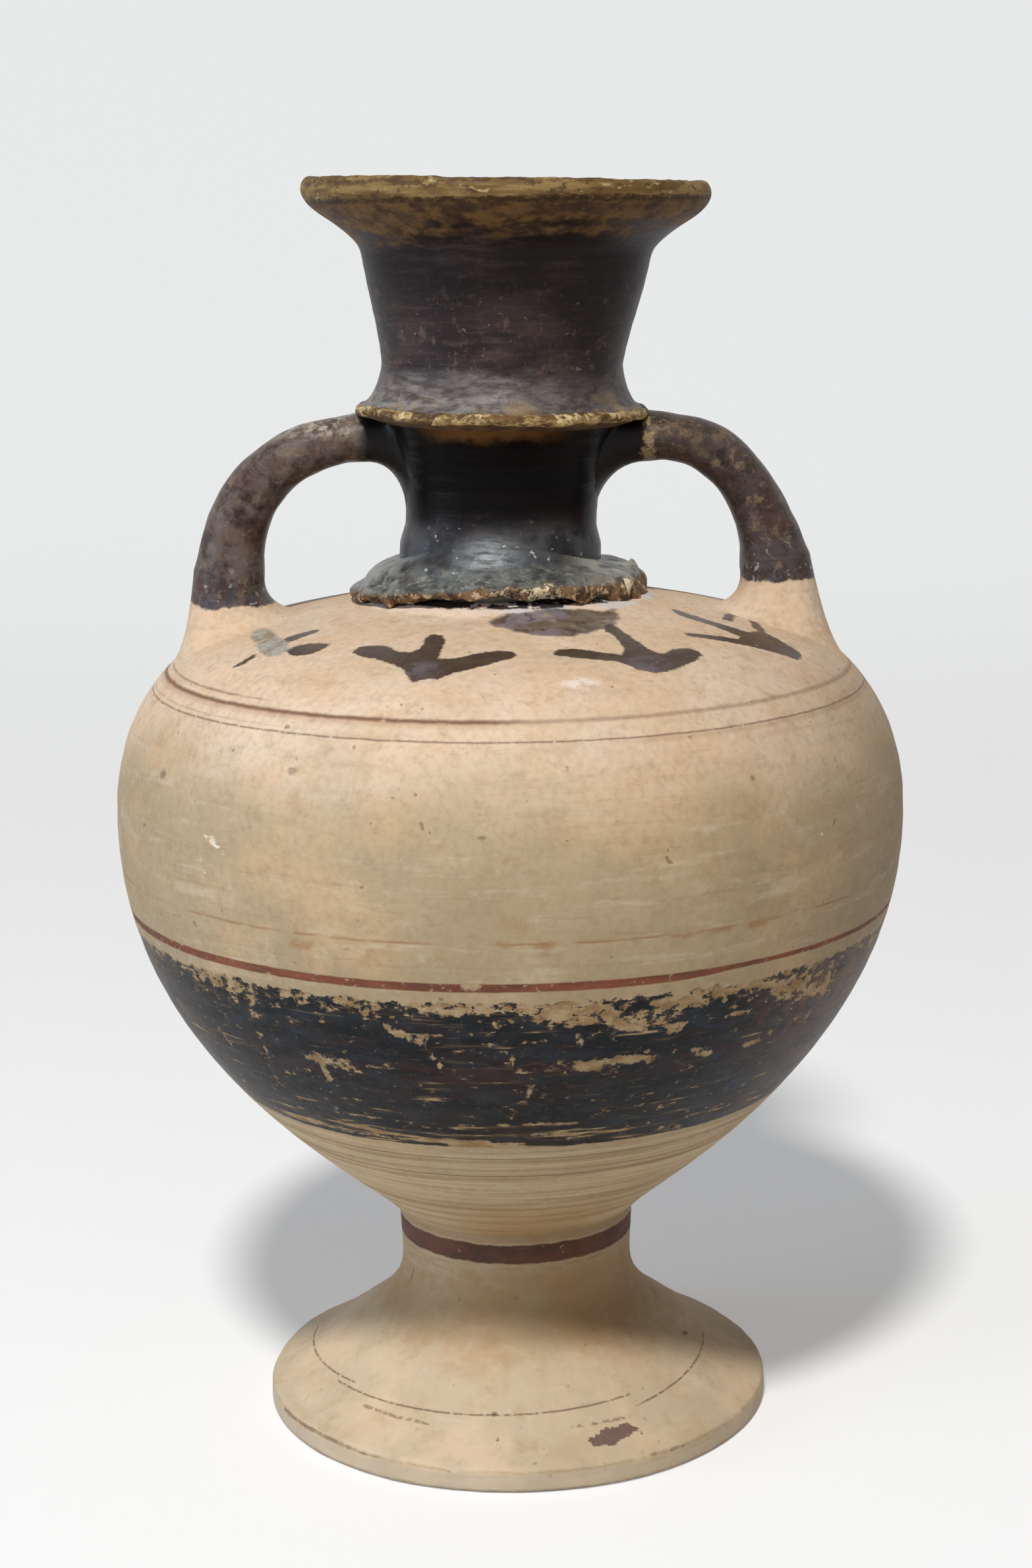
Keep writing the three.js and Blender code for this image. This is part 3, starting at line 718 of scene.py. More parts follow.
# Foot
SPREAD = (math.cos(math.radians(38)), math.sin(math.radians(38)))
FOOT_PROFILE = outline(
    (FOOT_RADIUS, 0.6),
    ((FOOT_RADIUS, 2.35), 4),
    ((FOOT_RADIUS, 2.75), (FOOT_RADIUS - 0.2, 3.1), (FOOT_RADIUS - 0.6, 3.35), 6),
    ((FOOT_RADIUS - 3.2, 4.75), (23.6 + 3.4 * SPREAD[0], 9.1 - 3.4 * SPREAD[1]), (23.6, 9.1), 26),
    ((23.6 - 4.4 * SPREAD[0], 9.1 + 4.4 * SPREAD[1]), (15.1, 14.2), (15.1, 19.9), 24),
    ((15.1, 22.0), (15.3, 24.0), (15.4, SEAT + 0.3), 14),
)
PURPLE_SPOT = [
    8.5, -28.6, 9.5, -29.3, 11.9, -28.6, 13.6, -27.1, 14.5, -26.2, 15.8, -26.1, 15.2, -25.4, 13.7, -25.3,
    12.4, -26, 10.7, -26.8, 9.6, -27.9,
]

# Strokes on the foot: half width, then angle and height of each point in turn
RIM_LINES = [
    (0.2, -67.8, 2.3, -54.9, 2.7, -47.2, 2.8), (0.16, -46, 2.8, -35.8, 2.6, -14.5, 2.5),
    (0.16, 27.3, 2.7, 39.1, 2.5),
]
FOOT_DOTS = [
    (0.38, -6.5, 7.3, -6.4, 7.3), (0.28, -5.1, 5.3, -5, 5.3), (0.25, 3.4, 3.5, 3.6, 3.5),
    (0.25, 6.6, 2.2, 6.8, 2.2), (0.2, 38.7, 7.7, 39, 7.7), (0.35, -0.6, 18.4, -0.4, 18.4),
    (0.18, 22, 20.9, 26, 20.3), (0.22, 8, 16.2, 8.3, 16.2), (0.22, 27.3, 12.5, 27.6, 12.5),
    (0.3, 73.5, 9.6, 76, 9.4), (0.2, -66, 17, -62, 19.5), (0.18, -8, 9.8, -7.6, 9.8),
]


def strokes_on(piece, name, strokes, profile, where):
    """Keeps a set of strokes on a turned piece, where its outside faces."""
    co, _ = positions(piece)
    mark(piece, name, [to_stroke(co, stroke, profile) for stroke in strokes], where)


def make_foot():
    hollow = outline(
        (0, 17.0), ((11.4, 17.0), (17.0, 6.8), (FOOT_RADIUS - 4.7, 0.15), 24), ((FOOT_RADIUS - 4.4, 0), 1),
        ((FOOT_RADIUS - 0.5, 0), 6), ((FOOT_RADIUS - 0.1, 0.05), (FOOT_RADIUS, 0.3), (FOOT_RADIUS, 0.6), 4),
    )
    bm = turned(hollow + FOOT_PROFILE[1:] + [Vector((0, 0, SEAT + 0.3))], steps=360)
    for v in bm.verts:
        rim = share(v.co.z, 9, 3) * share(math.hypot(v.co.x, v.co.y), 26, 32)
        if v.co.z > 0.2:
            widen(v.co, wobble(v.co, 26, 0.3, 3) + wobble(Vector((0, 0, v.co.z)), 1.4, 0.09, 5))
            v.co.z += rim * (wobble(v.co, 9, 0.22, 7) + wobble(v.co, 2.5, 0.08, 9))
    foot = finished("turned_foot", bm, "foot", pale_clay(), crease=50)
    co, radius = positions(foot)
    top = radius > np.interp(co[:, 2], [2.4, 9, 16, SEAT], [32, 21, 13, 13])
    mark(foot, "purple_spot", [to_polygon(co[:, :2], PURPLE_SPOT)], top)
    strokes_on(foot, "rim_line", RIM_LINES, FOOT_PROFILE, radius > 31)
    strokes_on(foot, "dark_spot", FOOT_DOTS, FOOT_PROFILE, radius > 13)


# Body
BODY_PROFILE = outline(
    (16.1, SEAT),
    ((20.1, SEAT + 5.4), (BELLY_RADIUS, SEAT + 21.4), (BELLY_RADIUS, BELLY), 74),
    ((BELLY_RADIUS, BELLY + 11.6), (44.8, LAND - 10.0), (BELLY_RADIUS - 10.4, LAND - 6.9), 36),
    ((36.9, LAND - 4.9), (30.0, LAND - 3.3), (COLLAR_RADIUS, COLLAR_LOW), 28),
    ((14.9, LAND), 8),
)

# Painted and glossy shapes on the shoulder, and a painted highlight spot, in plan: x and y of the corners in
# turn
SHOULDER_FROM = 97
SHOULDER_SHAPES = {
    "sprig": [
        [-18.2, -26.7, -17.5, -25.2, -15.7, -25.5, -14.1, -26.4, -12.7, -28.6, -11.1, -29.2, -10, -28,
         -9.7, -24.7, -8.9, -23.7, -7.6, -24.6, -7.2, -26.8, -8.1, -31.9, -6.1, -32.1, -2.5, -30.7,
         -0.8, -30.4, 0.6, -30.8, 1.1, -31.8, 0.6, -32.8, -2.5, -34.6, -6.4, -36.1, -7.9, -37.1, -9.1, -36.6,
         -10.9, -37, -11.4, -35.8, -12.2, -33.5, -14.8, -30.4, -17.3, -28.5],
        [5.3, -31.1, 6.1, -29.9, 8.1, -29.6, 11.9, -30.3, 13.5, -30.5, 13.9, -28.8, 12.9, -24.6, 11.8, -22.7,
         11.9, -20.4, 12.7, -19.9, 14.1, -22.7, 16.6, -27.7, 18.3, -28.9, 19.6, -26.9, 21.4, -25.7,
         22.7, -26.1, 23.2, -27.1, 22.4, -28.8, 20.9, -30.9, 19.2, -32.9, 17.4, -34.1, 15.5, -34.1,
         12.9, -32.5, 8.8, -32.4, 5.7, -31.9],
        [20.6, -8.8, 24.8, -12.2, 29.5, -14.7, 31.5, -12.4, 34.6, -15.8, 35.8, -16.8, 35.9, -18.1,
         35, -19.7, 31.9, -20.4, 28.8, -20.7, 25, -21, 21.6, -21.2, 21.2, -20.2, 24.3, -19.4,
         28.1, -18.7, 28.4, -17.7, 25.4, -14.9, 22, -12.8, 20.7, -11],
        [26.6, -10.6, 27.2, -7.2, 28.9, -3.8, 30.7, -3.9, 31.4, -8.2, 32, -12.4, 30.4, -12.6, 30.3, -8.3,
         29.9, -6.2, 29.2, -5.9, 28.4, -7.7, 27.9, -10.8],
        [-27.3, -16.5, -25.4, -15.5, -23, -15.1, -22.8, -16.2, -24.8, -17.7, -26.6, -18.7],
        [-26.4, -21.5, -25, -20.6, -23, -21.1, -21.1, -22.6, -22, -24.2, -23.6, -24.9, -25.2, -24.4,
         -26.2, -23.2],
        [-30.2, -19.6, -32.9, -21.5, -33, -22.1, -31.5, -22, -30.3, -20.9],
    ],
    "pale_sprig": [
        [-29.5, -14.2, -27.8, -15.2, -26.6, -18.1, -26.2, -21.6, -27.3, -22.8, -28.7, -22.2, -30.2, -18.7,
         -30.7, -16],
        [-31.9, -6.7, -31, -5.8, -29.2, -10.9, -28, -15, -29.5, -14.6, -30.8, -15.2, -31.7, -11.1],
    ],
    "smear": [
        [-2, -20.1, -0.7, -18.5, 1, -18.1, 5.7, -16.3, 11.7, -15, 13.4, -13.4, 13.6, -17.1, 12.9, -20.2,
         11.8, -22.1, 7.8, -25.4, 5.1, -25.7, 3.1, -25, -1.1, -22.5],
    ],
    "painted_highlight_spot": [
        [5.4, -38.7, 8.1, -39.6, 10.6, -38.5, 10.7, -37.1, 7.9, -36.9],
    ],
}

# Pools of glaze on the sprigs: x, y and radius
GLAZE_POOLS = [(-9.6, -34.6, 2.2), (16.8, -32.6, 2.6), (9, -22, 1.6)]

# Strokes where the band is scraped or flaked off, and other marks: half width, then angle and height in turn
BODY_STROKES = {
    "bare_stroke": [
        (0.55, -17.6, 63.8, -14.4, 62.7), (0.3, -13.2, 62.3, -11.9, 61.2, -10.5, 58.9),
        (0.28, -3.9, 62.3, -1.3, 61.4, -0.1, 60.2, 0.6, 58.3), (0.25, 1.6, 56.6, 3, 56.5, 2.2, 54.6),
        (0.35, 9.1, 62.9, 9.9, 61.5), (0.3, 6.6, 65, 8.3, 64.1), (0.35, -21.9, 58.3, -17.2, 58.7),
        (0.34, 0.6, 58.6, 8.5, 58.6, 14.5, 57.5), (0.36, 9.4, 59.4, 17.9, 58.7),
        (0.4, -20.6, 49.8, -6.4, 49.8), (0.34, 1.4, 50.4, 10.9, 49.9), (0.3, -2.3, 50.2, -1.2, 50.2),
        (0.45, -27.4, 47.4, -11.1, 47.4), (0.3, 3.5, 48.4, 5.9, 48.3), (0.35, 9.6, 47.5, 14.3, 47.4),
        (0.24, -3.8, 47, 1.7, 47), (0.5, -9.7, 66.2, -6.7, 66.3), (0.2, -13.3, 63.3, -9.5, 63.4),
        (0.5, 13.3, 66.2, 14.6, 64.4), (0.8, 4.7, 66, 6.8, 66.6), (0.6, 8.5, 67, 11.5, 66.8),
        (0.9, -11, 46.8, -5.2, 46.9), (0.28, -51.2, 58.9, -50, 56.6), (0.2, -40.8, 58.7, -40.7, 56.8),
        (0.42, -30.1, 57, -29.7, 55.3), (0.25, -30.9, 54.2, -29.1, 52.9, -27.1, 53),
        (0.45, -32.3, 58.4, -28.6, 58.6), (0.25, -27.7, 58.6, -24.2, 58.8),
        (0.22, -36.6, 49.9, -31.1, 50, -22.9, 50.4), (0.22, -35, 46.9, -24.8, 47.3),
        (0.22, -43.5, 49.9, -40.4, 49.3), (0.4, -22, 66.8, -20.5, 65.6), (0.35, -20.3, 65.7, -18.2, 66),
        (0.35, 33, 63.3, 38.3, 62.6), (0.5, 27.8, 59, 30.9, 58.1), (0.55, 15.7, 59.5, 20.6, 58.7),
        (0.6, 15, 63.9, 18, 63.4), (0.22, 19.5, 63.6, 25.4, 63), (0.3, 30, 66.4, 31.7, 64.6),
        (0.35, 37.8, 57.9, 43, 58.8), (0.22, 22.9, 62.1, 24.6, 61.9), (0.5, 19.8, 66.2, 29, 67.2),
    ],
    "loss_zone": [
        (1.6, 7, 66.5, 12, 65.2, 17, 63.8, 22, 64.8, 25, 66.6), (1.1, 2, 66.9, 9, 66.8),
        (1, -14, 67, -3, 67.1), (0.7, -50, 67, -23, 66.9), (1, 27, 66.4, 38, 66.6),
        (0.8, 6, 58.7, 24, 59.6), (1.6, 41, 65, 55, 63), (0.8, -32, 58.6, -24, 57.6),
    ],
    "ochre_blot": [
        (0.5, -30.5, 73.5, -27.5, 73.4), (0.45, -1.6, 74.8, -0.2, 74.7), (0.35, 3.4, 74.7, 5.2, 74.6),
        (0.3, 22, 74.4, 30, 74.4), (0.45, 33.5, 74.4, 36.5, 74.8), (0.35, -37, 74.9, -35, 74.9),
    ],
    "red_gap": [
        (0.55, -6.6, 69.4, -4, 69.4), (0.3, -24, 69.3, -20.6, 69.4), (0.12, 1.4, 69.8, 2.2, 68.8),
    ],
    "pale_scratch": [
        (0.35, -45, 84.6, -43.6, 83.4), (0.3, -43.2, 84.4, -41.5, 82.8), (0.3, -46.5, 82, -45, 81.2),
        (0.25, -47, 80.4, -45.8, 79.6), (0.3, 46, 84, 46.6, 83.4),
    ],
    "dark_spot": [
        (0.55, -31.6, 93.2, -30.9, 93.2), (0.4, 35, 91.4, 35.3, 91.4), (0.6, -58, 90, -57.6, 90),
        (0.25, -3.8, 87, -3.2, 87), (0.3, 27, 79, 27.2, 79),
    ],
}


def settle(co):
    """Gives a point of the body's wall its throwing rings, its slight lumps and its oval."""
    low = share(co.z, 50, 30)
    throwing = wobble(Vector((0, 0, co.z)), 2.3, 0.07 + 0.14 * low, 11)
    widen(co, wobble(co, 34, 0.45, 13) + throwing + wobble(co, 5, 0.05, 15))


def shoulder_point(x, y):
    """Point of the shoulder straight below or above a spot in plan."""
    rising = [p for p in reversed(BODY_PROFILE) if p.z > BELLY]
    z = np.interp(math.hypot(x, y), [p.x for p in rising], [p.z for p in rising])
    co = Vector((x, y, z))
    settle(co)
    return co


def make_body():
    bottom = outline((0, SEAT - 1.7), ((8.8, SEAT - 1.7), 4), ((8.8, SEAT), 2), ((15.9, SEAT), 5))
    inside = outline(
        (14.9, LAND), ((KEY_RADIUS, LAND), 2), ((KEY_RADIUS, KEY_TOP), 2), ((BORE, KEY_TOP), 2),
        ((BORE, LAND - 2.6), 4),
        ((20, LAND - 4.6), (33.5, LAND - 7.4), (38.4, LAND - 10), 10),
        ((44, LAND - 13.4), (47.2, BELLY + 9), (47.2, BELLY), 8),
        ((47.2, 51.3), (5.7, 36.6), (0, 31.7), 18),
    )
    bm = turned(bottom + BODY_PROFILE + inside[1:], steps=440)
    for v in bm.verts:
        if SEAT + 0.2 < v.co.z < LAND - 0.2:
            settle(v.co)
    body = finished("turned_body", bm, "body", painted_clay(), crease=45)

    co, radius = positions(body)
    x, y, z = co.T
    shoulder = z > SHOULDER_FROM
    for name, shapes in SHOULDER_SHAPES.items():
        mark(body, name, [to_polygon(co[:, :2], corners) for corners in shapes], shoulder)
    pools = [np.hypot(x - at_x, y - at_y) - size for at_x, at_y, size in GLAZE_POOLS]
    mark(body, "glaze_pool", pools, shoulder)
    outside = radius > np.interp(z, [SEAT, 60, BELLY, 100, LAND], [12, 43, 48.5, 38.5, 14])
    for name, strokes in BODY_STROKES.items():
        strokes_on(body, name, strokes, BODY_PROFILE, outside)


# Neck, with its socket over the throat and its key up into the mouth
NECK_PROFILE = outline(
    (12.7, LAND - FILM), ((12.75, 110.5), (12.9, 112), (12.8, 114.2), 10),
    ((12.75, 115.4), (12.2, 115.6), (12.15, 117), 8), ((12.1, 120), (12.3, 123.2), (13.2, 126), 18),
    ((13.8, 127.8), (14.5, 128.8), (15.1, STEP + FILM), 10),
)


def make_neck():
    inside = outline(
        (15.1, STEP + FILM), ((13.2, STEP + FILM), 2), ((13.2, STEP + 6), 4), ((BORE, STEP + 6), 3),
        ((BORE, KEY_TOP + FILM), 12), ((KEY_RADIUS + FILM, KEY_TOP + FILM), 2),
        ((KEY_RADIUS + FILM, LAND - FILM), 2), ((12.7, LAND - FILM), 3),
    )
    bm = turned(NECK_PROFILE + inside[1:-1], steps=220, ring=True)
    for v in bm.verts:
        if math.hypot(v.co.x, v.co.y) > BORE + 2:
            widen(v.co, wobble(v.co, 9, 0.25, 17) + wobble(Vector((0, 0, v.co.z)), 1.1, 0.1, 19))
        lean(v.co)
    finished("thrown_neck", bm, "neck", neck_slip())


# Collar: a ring of clay round the neck's foot, blunt on the right, sloping on the left, lifted in front
def collar_section(edge, top, low, foot, round_off=0):
    """Outline of the collar: radius and corners of its edge, its foot on the neck, how round its top is."""
    neck, land = 12.0, LAND - 0.1
    return outline(
        (neck, land), ((neck, foot), 5),
        ((12.9 + 2.1 * round_off, foot - 2.0 + 1.5 * round_off),
         (13.4 + 3.4 * round_off, top + 1.1 + 1.4 * round_off), (edge - 2.2, top + 0.5), 18),
        ((edge - 0.9, top + 0.1), (edge, top - 0.3), (edge, 0.5 * (top + low)), 12),
        ((edge, low + 0.4), (edge - 0.3, low), (edge - 1.0, low), 8), ((14.9, land), 7), ((neck, land), 3),
    )[:-1]


COLLAR_SECTIONS = [
    collar_section(17.2, 111.2, 109.5, LAND + 8.0), collar_section(18.4, 111.4, 107.8, LAND + 4.9),
    collar_section(19.2, 110.0, 107.8, LAND + 5.2, 0.4), collar_section(19.7, 108.8, 107.5, LAND + 3.8, 0.9),
]
COLLAR_SPUR = Vector((16.7, -2.0, 111.6))

# Pale crusts on its edge: angle and radius, at one height
CRUSTS = [(8, 1.0), (13, 1.3), (18, 1.1), (-1, 0.7), (60, 1.1)]
CRUST_HEIGHT = 109.6
DEGREE = 0.3


def make_collar():
    count = len(COLLAR_SECTIONS[0])
    middle, reach = 20, 5
    turns = [2 * math.pi * i / count for i in range(count)]
    round_tube = [Vector((middle + reach * math.cos(t), 0, reach * math.sin(t))) for t in turns]
    bm = turned(round_tube, steps=400, ring=True)
    for v in bm.verts:
        co = v.co
        round_way = math.atan2(co.z, math.hypot(co.x, co.y) - middle) / (2 * math.pi)
        index = round(round_way * count) % count
        quarter = math.atan2(co.x, -co.y) / (0.5 * math.pi) % 4
        here, after = COLLAR_SECTIONS[int(quarter)], COLLAR_SECTIONS[(int(quarter) + 1) % 4]
        point = here[index].lerp(after[index], share(quarter % 1, 0, 1))
        flat = math.hypot(co.x, co.y)
        v.co = Vector((co.x / flat * point.x, co.y / flat * point.x, point.z))
        out = share(point.x, 15.0, 17.5)
        under = share(point.z, 110.4, 108.6)
        front = share(-co.y / flat, -0.2, 0.6)
        around = Vector((v.co.x, v.co.y, 0))
        calm = 1 - 0.75 * share(-co.x / flat, 0.2, 0.8)
        widen(v.co, out * calm * (wobble(around, 3.4, 0.7, 21) + wobble(v.co, 1.2, 0.35, 23)))
        v.co.z += out * under * (front * wobble(around, 2.2, 1.5, 27) - 0.3 * front)
        v.co.z += calm * share(point.x, 12.5, 14) * (wobble(v.co, 4, 0.35, 25) + wobble(v.co, 1.6, 0.12, 26))
        v.co.z += 1.0 * math.exp(-((v.co - COLLAR_SPUR).length / 0.6) ** 2)
        lean(v.co)
    collar = finished("pressed_collar", bm, "neck_collar", collar_slip(), crease=60)
    co, radius = positions(collar)
    turn = np.degrees(np.arctan2(co[:, 0], -co[:, 1]))
    top = np.interp(turn, [-180, -90, 0, 90, 180], [109.3, 108.4, 110.6, 110.0, 109.3])
    rim = 16.2 - radius
    mark(collar, "edge_band", [np.maximum(co[:, 2] - top, rim)])
    lumps = [np.hypot((turn - at) * DEGREE, co[:, 2] - CRUST_HEIGHT) - size for at, size in CRUSTS]
    mark(collar, "crust", [np.maximum(np.min(lumps, axis=0), rim)])


# Ridge, with its worn edge
def make_ridge():
    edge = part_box("neck_ridge")[1].x / MM
    points = outline(
        (13.5, STEP), ((14.9, STEP), 3), ((edge - 0.7, STEP + 0.9), 12),
        ((edge - 0.2, STEP + 0.95), (edge, STEP + 1.2), (edge, STEP + 1.5), 6),
        ((edge, STEP + 1.9), (edge - 0.3, STEP + 2.1), (edge - 0.9, STEP + 2.3), 7),
        ((16.9, STEP + 2.5), (15.6, STEP + 3.8), (15.1, STEP + 7.4), 20),
        ((13.5, STEP + 7.4), 3), ((13.5, STEP), 4),
    )
    bm = turned(points[:-1], steps=400, ring=True)
    for v in bm.verts:
        reach = share(math.hypot(v.co.x, v.co.y), 15.5, edge)
        around = Vector((v.co.x, v.co.y, 0))
        chip = max(wobble(around, 2.6, 1.0, 29) - 0.3, 0)
        widen(v.co, reach * (wobble(around, 11, 0.35, 31) - 0.9 * chip + wobble(v.co, 1.2, 0.15, 30)))
        v.co.z += reach * (wobble(around, 6, 0.4, 33) + wobble(around, 2.0, 0.25, 34))
        lean(v.co)
    ridge = finished("neck_edge", bm, "neck_ridge", ridge_slip(), crease=60)
    co, _ = positions(ridge)
    radius = np.hypot(co[:, 0] - NECK_SHIFT - NECK_LEAN * (STEP - LEAN_FROM), co[:, 1])
    mark(ridge, "edge_band", [edge - 0.75 - radius])


# Mouth
def make_mouth():
    top = MOUTH_TOP - 0.35
    lip = LIP_RADIUS - 0.1
    points = outline(
        (13.5, MOUTH_LOW), ((15.3, MOUTH_LOW), 3), ((15.15, MOUTH_LOW + 2.2), 5),
        ((15.2, 140.0), (17.1, 145.0), (18.0, 150.0), 26), ((18.3, 152.6), (23.2, 154.4), (24.9, 156.5), 22),
        ((25.3, 157.0), (lip, 157.4), (lip, 157.9), 6), ((lip, 158.8), (24.9, top), (24.3, top), 7),
        ((23.4, top), (23.0, top - 0.3), (22.7, top - 0.6), 4),
        ((18.2, 157.6), (16.4, 154.0), (15.4, 150.0), 18),
        ((13.4, 144.0), (12.7, 142.0), (12.5, 139.4), 14), ((12.3, 137.8), (10.4, 137.4), (BORE, 137.4), 8),
        ((BORE, MOUTH_LOW + 2), 3), ((13.5, MOUTH_LOW + 2), 3), ((13.5, MOUTH_LOW), 2),
    )
    bm = turned(points[:-1], steps=300, ring=True)
    for v in bm.verts:
        co = v.co
        rim = share(co.z, 154, 157.5)
        throwing = wobble(Vector((0, 0, co.z)), 1.5, 0.09, 35)
        widen(co, throwing + wobble(co, 14, 0.25, 37) + rim * wobble(co, 7, 0.25, 39))
        co.z += rim * (wobble(co, 12, 0.3, 41) + wobble(co, 2.5, 0.12, 43) + wobble(co, 1.0, 0.08, 44))
        lean(co)
    finished("thrown_mouth", bm, "mouth", mouth_slip())


# Handles: centre line (x, height), thickness in the plane of the jar, width across
RIGHT_HANDLE = [
    (18.2, 127.5, 6.4, 9.0), (20.6, 127.4, 6.0, 9.0), (23.9, 126.7, 6.0, 9.1), (27.0, 125.0, 6.3, 9.2),
    (29.8, 122.2, 6.6, 9.2), (32.0, 118.5, 6.9, 9.2), (33.5, 114.8, 7.6, 9.4), (34.2, 111.6, 9.0, 10.0),
]
LEFT_HANDLE = [
    (18.2, 127.8, 6.4, 9.0), (20.8, 127.5, 6.0, 9.0), (24.6, 126.5, 6.3, 9.0), (28.3, 124.5, 6.7, 9.1),
    (31.5, 121.3, 7.3, 9.3), (33.7, 117.7, 7.7, 9.4), (34.8, 114.0, 8.2, 9.6), (35.2, 111.0, 8.9, 10.2),
]
SQUARENESS = 2 / 2.4

# Where their flares end on neck and shoulder: the middle, the reach to either side of it, the reach across
NECK_SEAT = (127.0, 8.8, 4.2, 6.6)
SHOULDER_SEAT = (35.4, 9.8, 8.2, 9.2)


def eased(rows, steps):
    """Rows of numbers joined by smooth curves."""
    rows = np.array(rows, float)
    rows = np.vstack([2 * rows[0] - rows[1], rows, 2 * rows[-1] - rows[-2]])
    out = []
    for a, b, c, d in zip(rows, rows[1:], rows[2:], rows[3:]):
        for t in np.linspace(0, 1, steps, endpoint=False):
            out.append(0.5 * (2 * b + (c - a) * t + (2 * a - 5 * b + 4 * c - d) * t * t
                              + (3 * b - a - 3 * c + d) * t ** 3))
    return out + [rows[-2]]


def squared(value):
    """A coordinate of a circle moved out towards a square with round corners."""
    return math.copysign(abs(value) ** SQUARENESS, value)


def on_seat(seat, unit, spread):
    """Spot of a seat from its middle outwards: height or distance from the axis, and place across."""
    middle, back, forth, across = seat
    return middle + spread * unit.x * (forth if unit.x > 0 else back), spread * unit.y * across


def neck_foot(unit, spread, side):
    """Where the handle's upper end meets the neck, from the middle of its seat outwards."""
    z, y = on_seat(NECK_SEAT, unit, spread)
    radius = np.interp(z, [p.z for p in NECK_PROFILE], [p.x for p in NECK_PROFILE]) - 0.2
    co = Vector((side * math.sqrt(radius ** 2 - y ** 2), y, z))
    lean(co)
    co.x *= side
    return co


def shoulder_foot(unit, spread, side):
    """Where the handle's lower end meets the shoulder, from the middle of its seat outwards."""
    x, y = on_seat(SHOULDER_SEAT, unit, spread)
    co = shoulder_point(side * x, y)
    co.x *= side
    co.z -= 0.15 * share(spread, 0.8, 1)
    return co


def flared(section, along, foot, steps):
    """Rings that carry a handle's end out in a hollow curve onto what it is luted to."""
    rings = [[] for _ in range(steps)]
    for unit, place in section:
        end, near = foot(unit, 1), foot(unit, 0.74)
        start = place + along * (0.5 * (end - place).length)
        for ring, point in zip(rings, interpolate_bezier(place, start, near, end, steps + 1)[1:]):
            ring.append(point)
    return rings


def grow(rim, bm, places):
    """Extrudes a rim and puts its new vertices at those places."""
    ring = set(rim)
    edges = {e for v in rim for e in v.link_edges if e.other_vert(v) in ring}
    grown = bmesh.ops.extrude_edge_only(bm, edges=list(edges))["geom"]
    fresh = {v for v in grown if isinstance(v, bmesh.types.BMVert)}
    rim = [next(e.other_vert(v) for e in v.link_edges if e.other_vert(v) in fresh) for v in rim]
    for v, place in zip(rim, places):
        v.co = place
    return rim


def make_handle(name, node, rows, side, material, seed):
    stations = [Vector(row) for row in eased(rows, 8)]
    bm = bmesh.new()
    rim = bmesh.ops.create_circle(bm, cap_ends=False, radius=1, segments=52)["verts"]
    units = [Vector((squared(v.co.x), squared(v.co.y), 0)) for v in rim]
    rings, ways = [], []
    for i, (x, z, thickness, width) in enumerate(stations):
        step = stations[min(i + 1, len(stations) - 1)] - stations[max(i - 1, 0)]
        along = Vector((step[0], 0, step[1])).normalized()
        outward = Vector((-along.z, 0, along.x))
        middle = Vector((x, 0, z))
        ring = []
        for unit in units:
            place = middle + outward * unit.x * thickness / 2 + Vector((0, unit.y * width / 2, 0))
            lump = wobble(place, 8, 0.3, seed) + wobble(place, 2.6, 0.12, seed + 2)
            ring.append(place + (place - middle).normalized() * lump)
        rings.append(ring)
        ways.append(along)
    at_neck = flared(list(zip(units, rings[0])), -ways[0], lambda u, s: neck_foot(u, s, side), 12)
    at_shoulder = flared(list(zip(units, rings[-1])), ways[-1], lambda u, s: shoulder_foot(u, s, side), 20)
    rings = at_neck[::-1] + rings + at_shoulder
    for v, place in zip(rim, rings[0]):
        v.co = place
    bmesh.ops.contextual_create(bm, geom=list(bm.edges))
    for places in rings[1:]:
        rim = grow(rim, bm, places)
    last = set(rim)
    bmesh.ops.contextual_create(bm, geom=[e for e in bm.edges if e.is_boundary and e.verts[0] in last])
    for v in bm.verts:
        v.co.x *= side
    bmesh.ops.recalc_face_normals(bm, faces=bm.faces)
    finished(name, bm, node, material, crease=50)


make_foot()
make_body()
make_neck()
make_collar()
make_ridge()
make_mouth()
# The left handle's stronger pale veil is partly painted light
make_handle("pulled_handle_right", "handle_right", RIGHT_HANDLE, 1,
            handle_slip("right_handle_slip", 109.5, 0.0, 18.2, 0.2), 45)
make_handle("pulled_handle_left", "handle_left", LEFT_HANDLE, -1,
            handle_slip("left_handle_slip", 106.5, -0.02, 0, 0.62), 55)


# Floor that sweeps up into a backdrop; sizes and places from here on are in metres
SWEEP = ((-4, -2.2, 0), (-4, 1.6, 0), (-4, 1.6, 3.2))
SWEEP_WIDTH = 8
SWEEP_ROUND = 1.0


def make_stage():
    bm = bmesh.new()
    verts = [bm.verts.new(p) for p in SWEEP]
    for pair in zip(verts, verts[1:]):
        bm.edges.new(pair)
    bmesh.ops.bevel(bm, geom=[verts[1]], offset=SWEEP_ROUND, offset_type="OFFSET", segments=24, profile=0.5,
                    affect="VERTICES", material=-1)
    grown = bmesh.ops.extrude_edge_only(bm, edges=list(bm.edges))["geom"]
    far_side = [g for g in grown if isinstance(g, bmesh.types.BMVert)]
    bmesh.ops.translate(bm, vec=(SWEEP_WIDTH, 0, 0), verts=far_side)
    bmesh.ops.recalc_face_normals(bm, faces=bm.faces)
    formed("sweep", bm, white_paper())


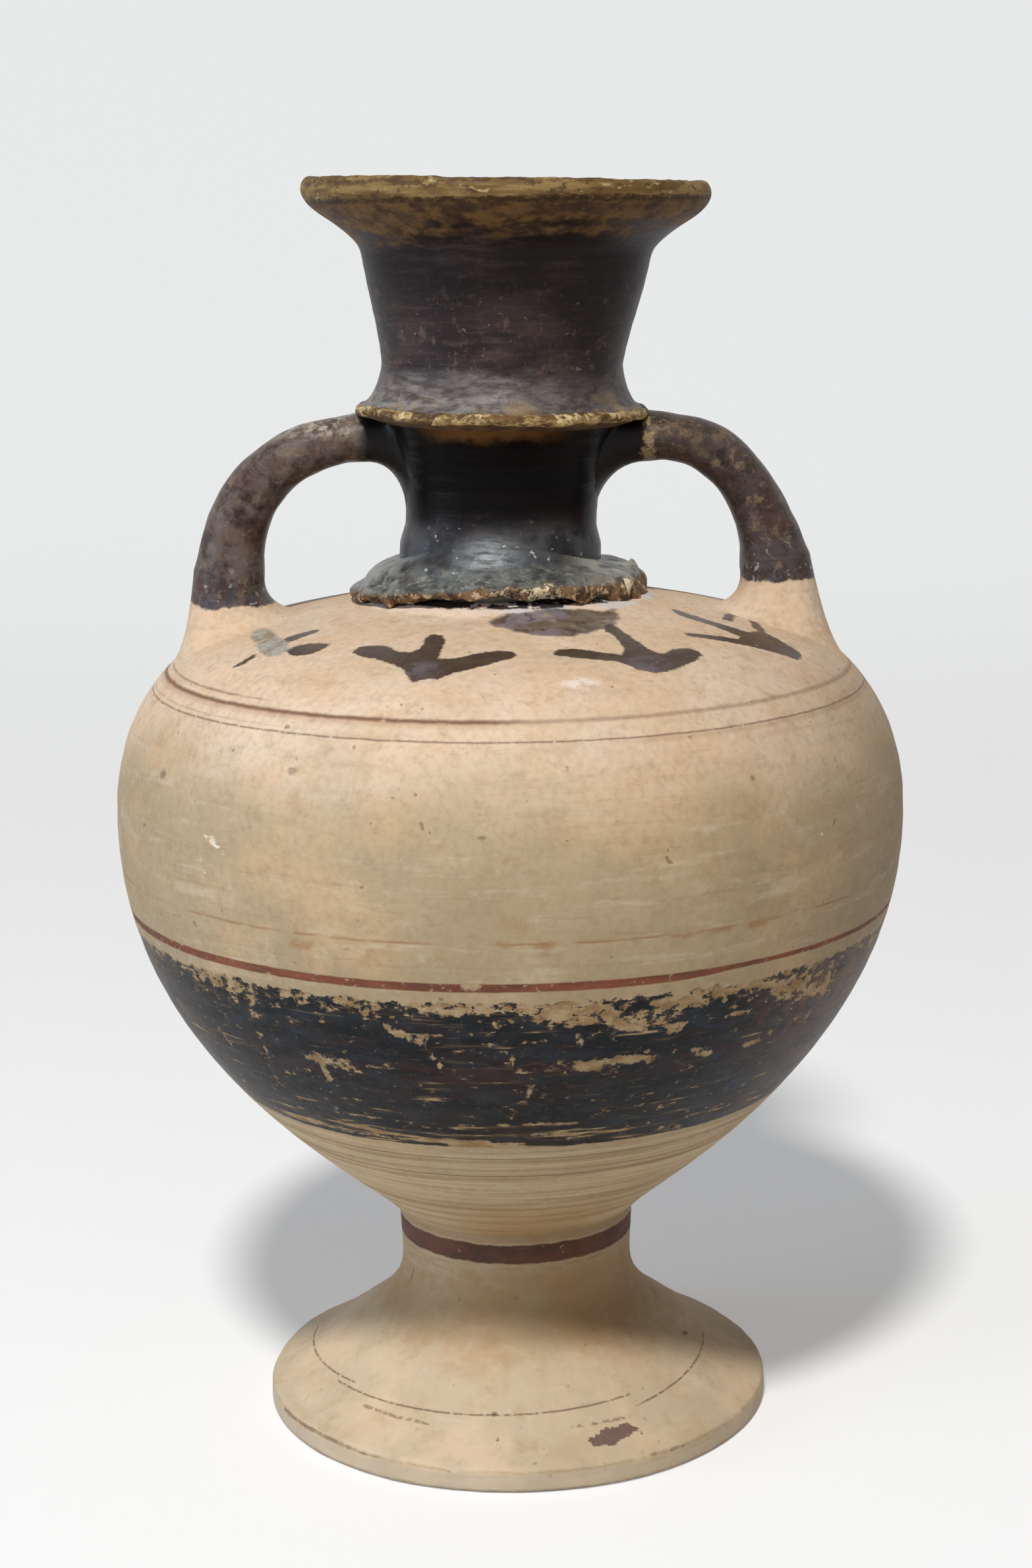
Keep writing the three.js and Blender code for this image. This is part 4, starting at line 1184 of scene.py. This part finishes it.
def white_paper():
    """Paper that shows near white, gives the jar less light than that, and is a little darker on its wall."""
    f = Finish("white_paper", (222, 221, 219), 0.9)
    seen = f.seen()
    f.lay((255, 255, 255), seen)
    paper = f.done(specular=0)
    far = f.ramp(f.node("ShaderNodeSeparateXYZ", f.place).outputs[1], 0.1, 0.9)
    shown = f.node("ShaderNodeEmission", f.mix(far, (255, 255, 255), (241, 243, 243)), 1.0)
    amount = f.both(seen, f.added(0.26, far, 0.54))
    blend = f.node("ShaderNodeMixShader", amount, f.shader.outputs[0], shown.outputs[0])
    f.feed(f.tree.nodes["Material Output"].inputs["Surface"], blend.outputs[0])
    return paper


def soft_light(name, place, size, power, tint):
    """A round lamp that points at the jar's middle."""
    data = bpy.data.lights.new(name, "AREA")
    data.shape = "DISK"
    data.size = size
    data.energy = power
    data.color = tint
    lamp = placed(name, data)
    lamp.location = place
    lamp.rotation_euler = (Vector((0, 0, 0.08)) - lamp.location).to_track_quat("-Z", "Y").to_euler()


def surround(light, shown):
    """Soft light from all round, and the paler tone that shows past the paper."""
    world = bpy.data.worlds.new("studio")
    sky = Nodes(world)
    back = sky.tree.nodes["Background"]
    sky.feed(back.inputs["Color"], (1, 0.98, 0.96, 1))
    strength = sky.node("ShaderNodeMapRange", sky.seen(), 0, 1, light, shown)
    sky.feed(back.inputs["Strength"], strength.outputs[0])
    bpy.context.scene.world = world


# The photograph's viewpoint: close, about level with the lip, tipped down and turned a little
CAMERA_PLACE = (0.00087, -0.3508, 0.155)
CAMERA_DOWN = 11.62
CAMERA_TURN = -0.80
FOCUS = 4200 / 2380


def set_camera():
    """Its lens has a focal length of FOCUS picture heights."""
    data = bpy.data.cameras.new("camera")
    data.sensor_fit = "VERTICAL"
    data.sensor_height = 36
    data.lens = data.sensor_height * FOCUS
    data.clip_start = 0.01
    camera = placed("camera", data)
    tilt = Matrix.Rotation(math.radians(90 - CAMERA_DOWN), 4, "X")
    turn = Matrix.Rotation(math.radians(CAMERA_TURN), 4, "Z")
    camera.matrix_world = Matrix.Translation(CAMERA_PLACE) @ tilt @ turn
    bpy.context.scene.camera = camera


make_stage()
surround(light=0.15, shown=0.75)
soft_light("main_lamp", place=(-0.16, -0.80, 1.24), size=0.18, power=17.2, tint=(1, 0.99, 0.97))
soft_light("left_window", place=(-1.2, -0.45, 0.22), size=0.9, power=8.4, tint=(0.64, 0.79, 1))
set_camera()
bpy.context.scene.view_settings.view_transform = "Standard"
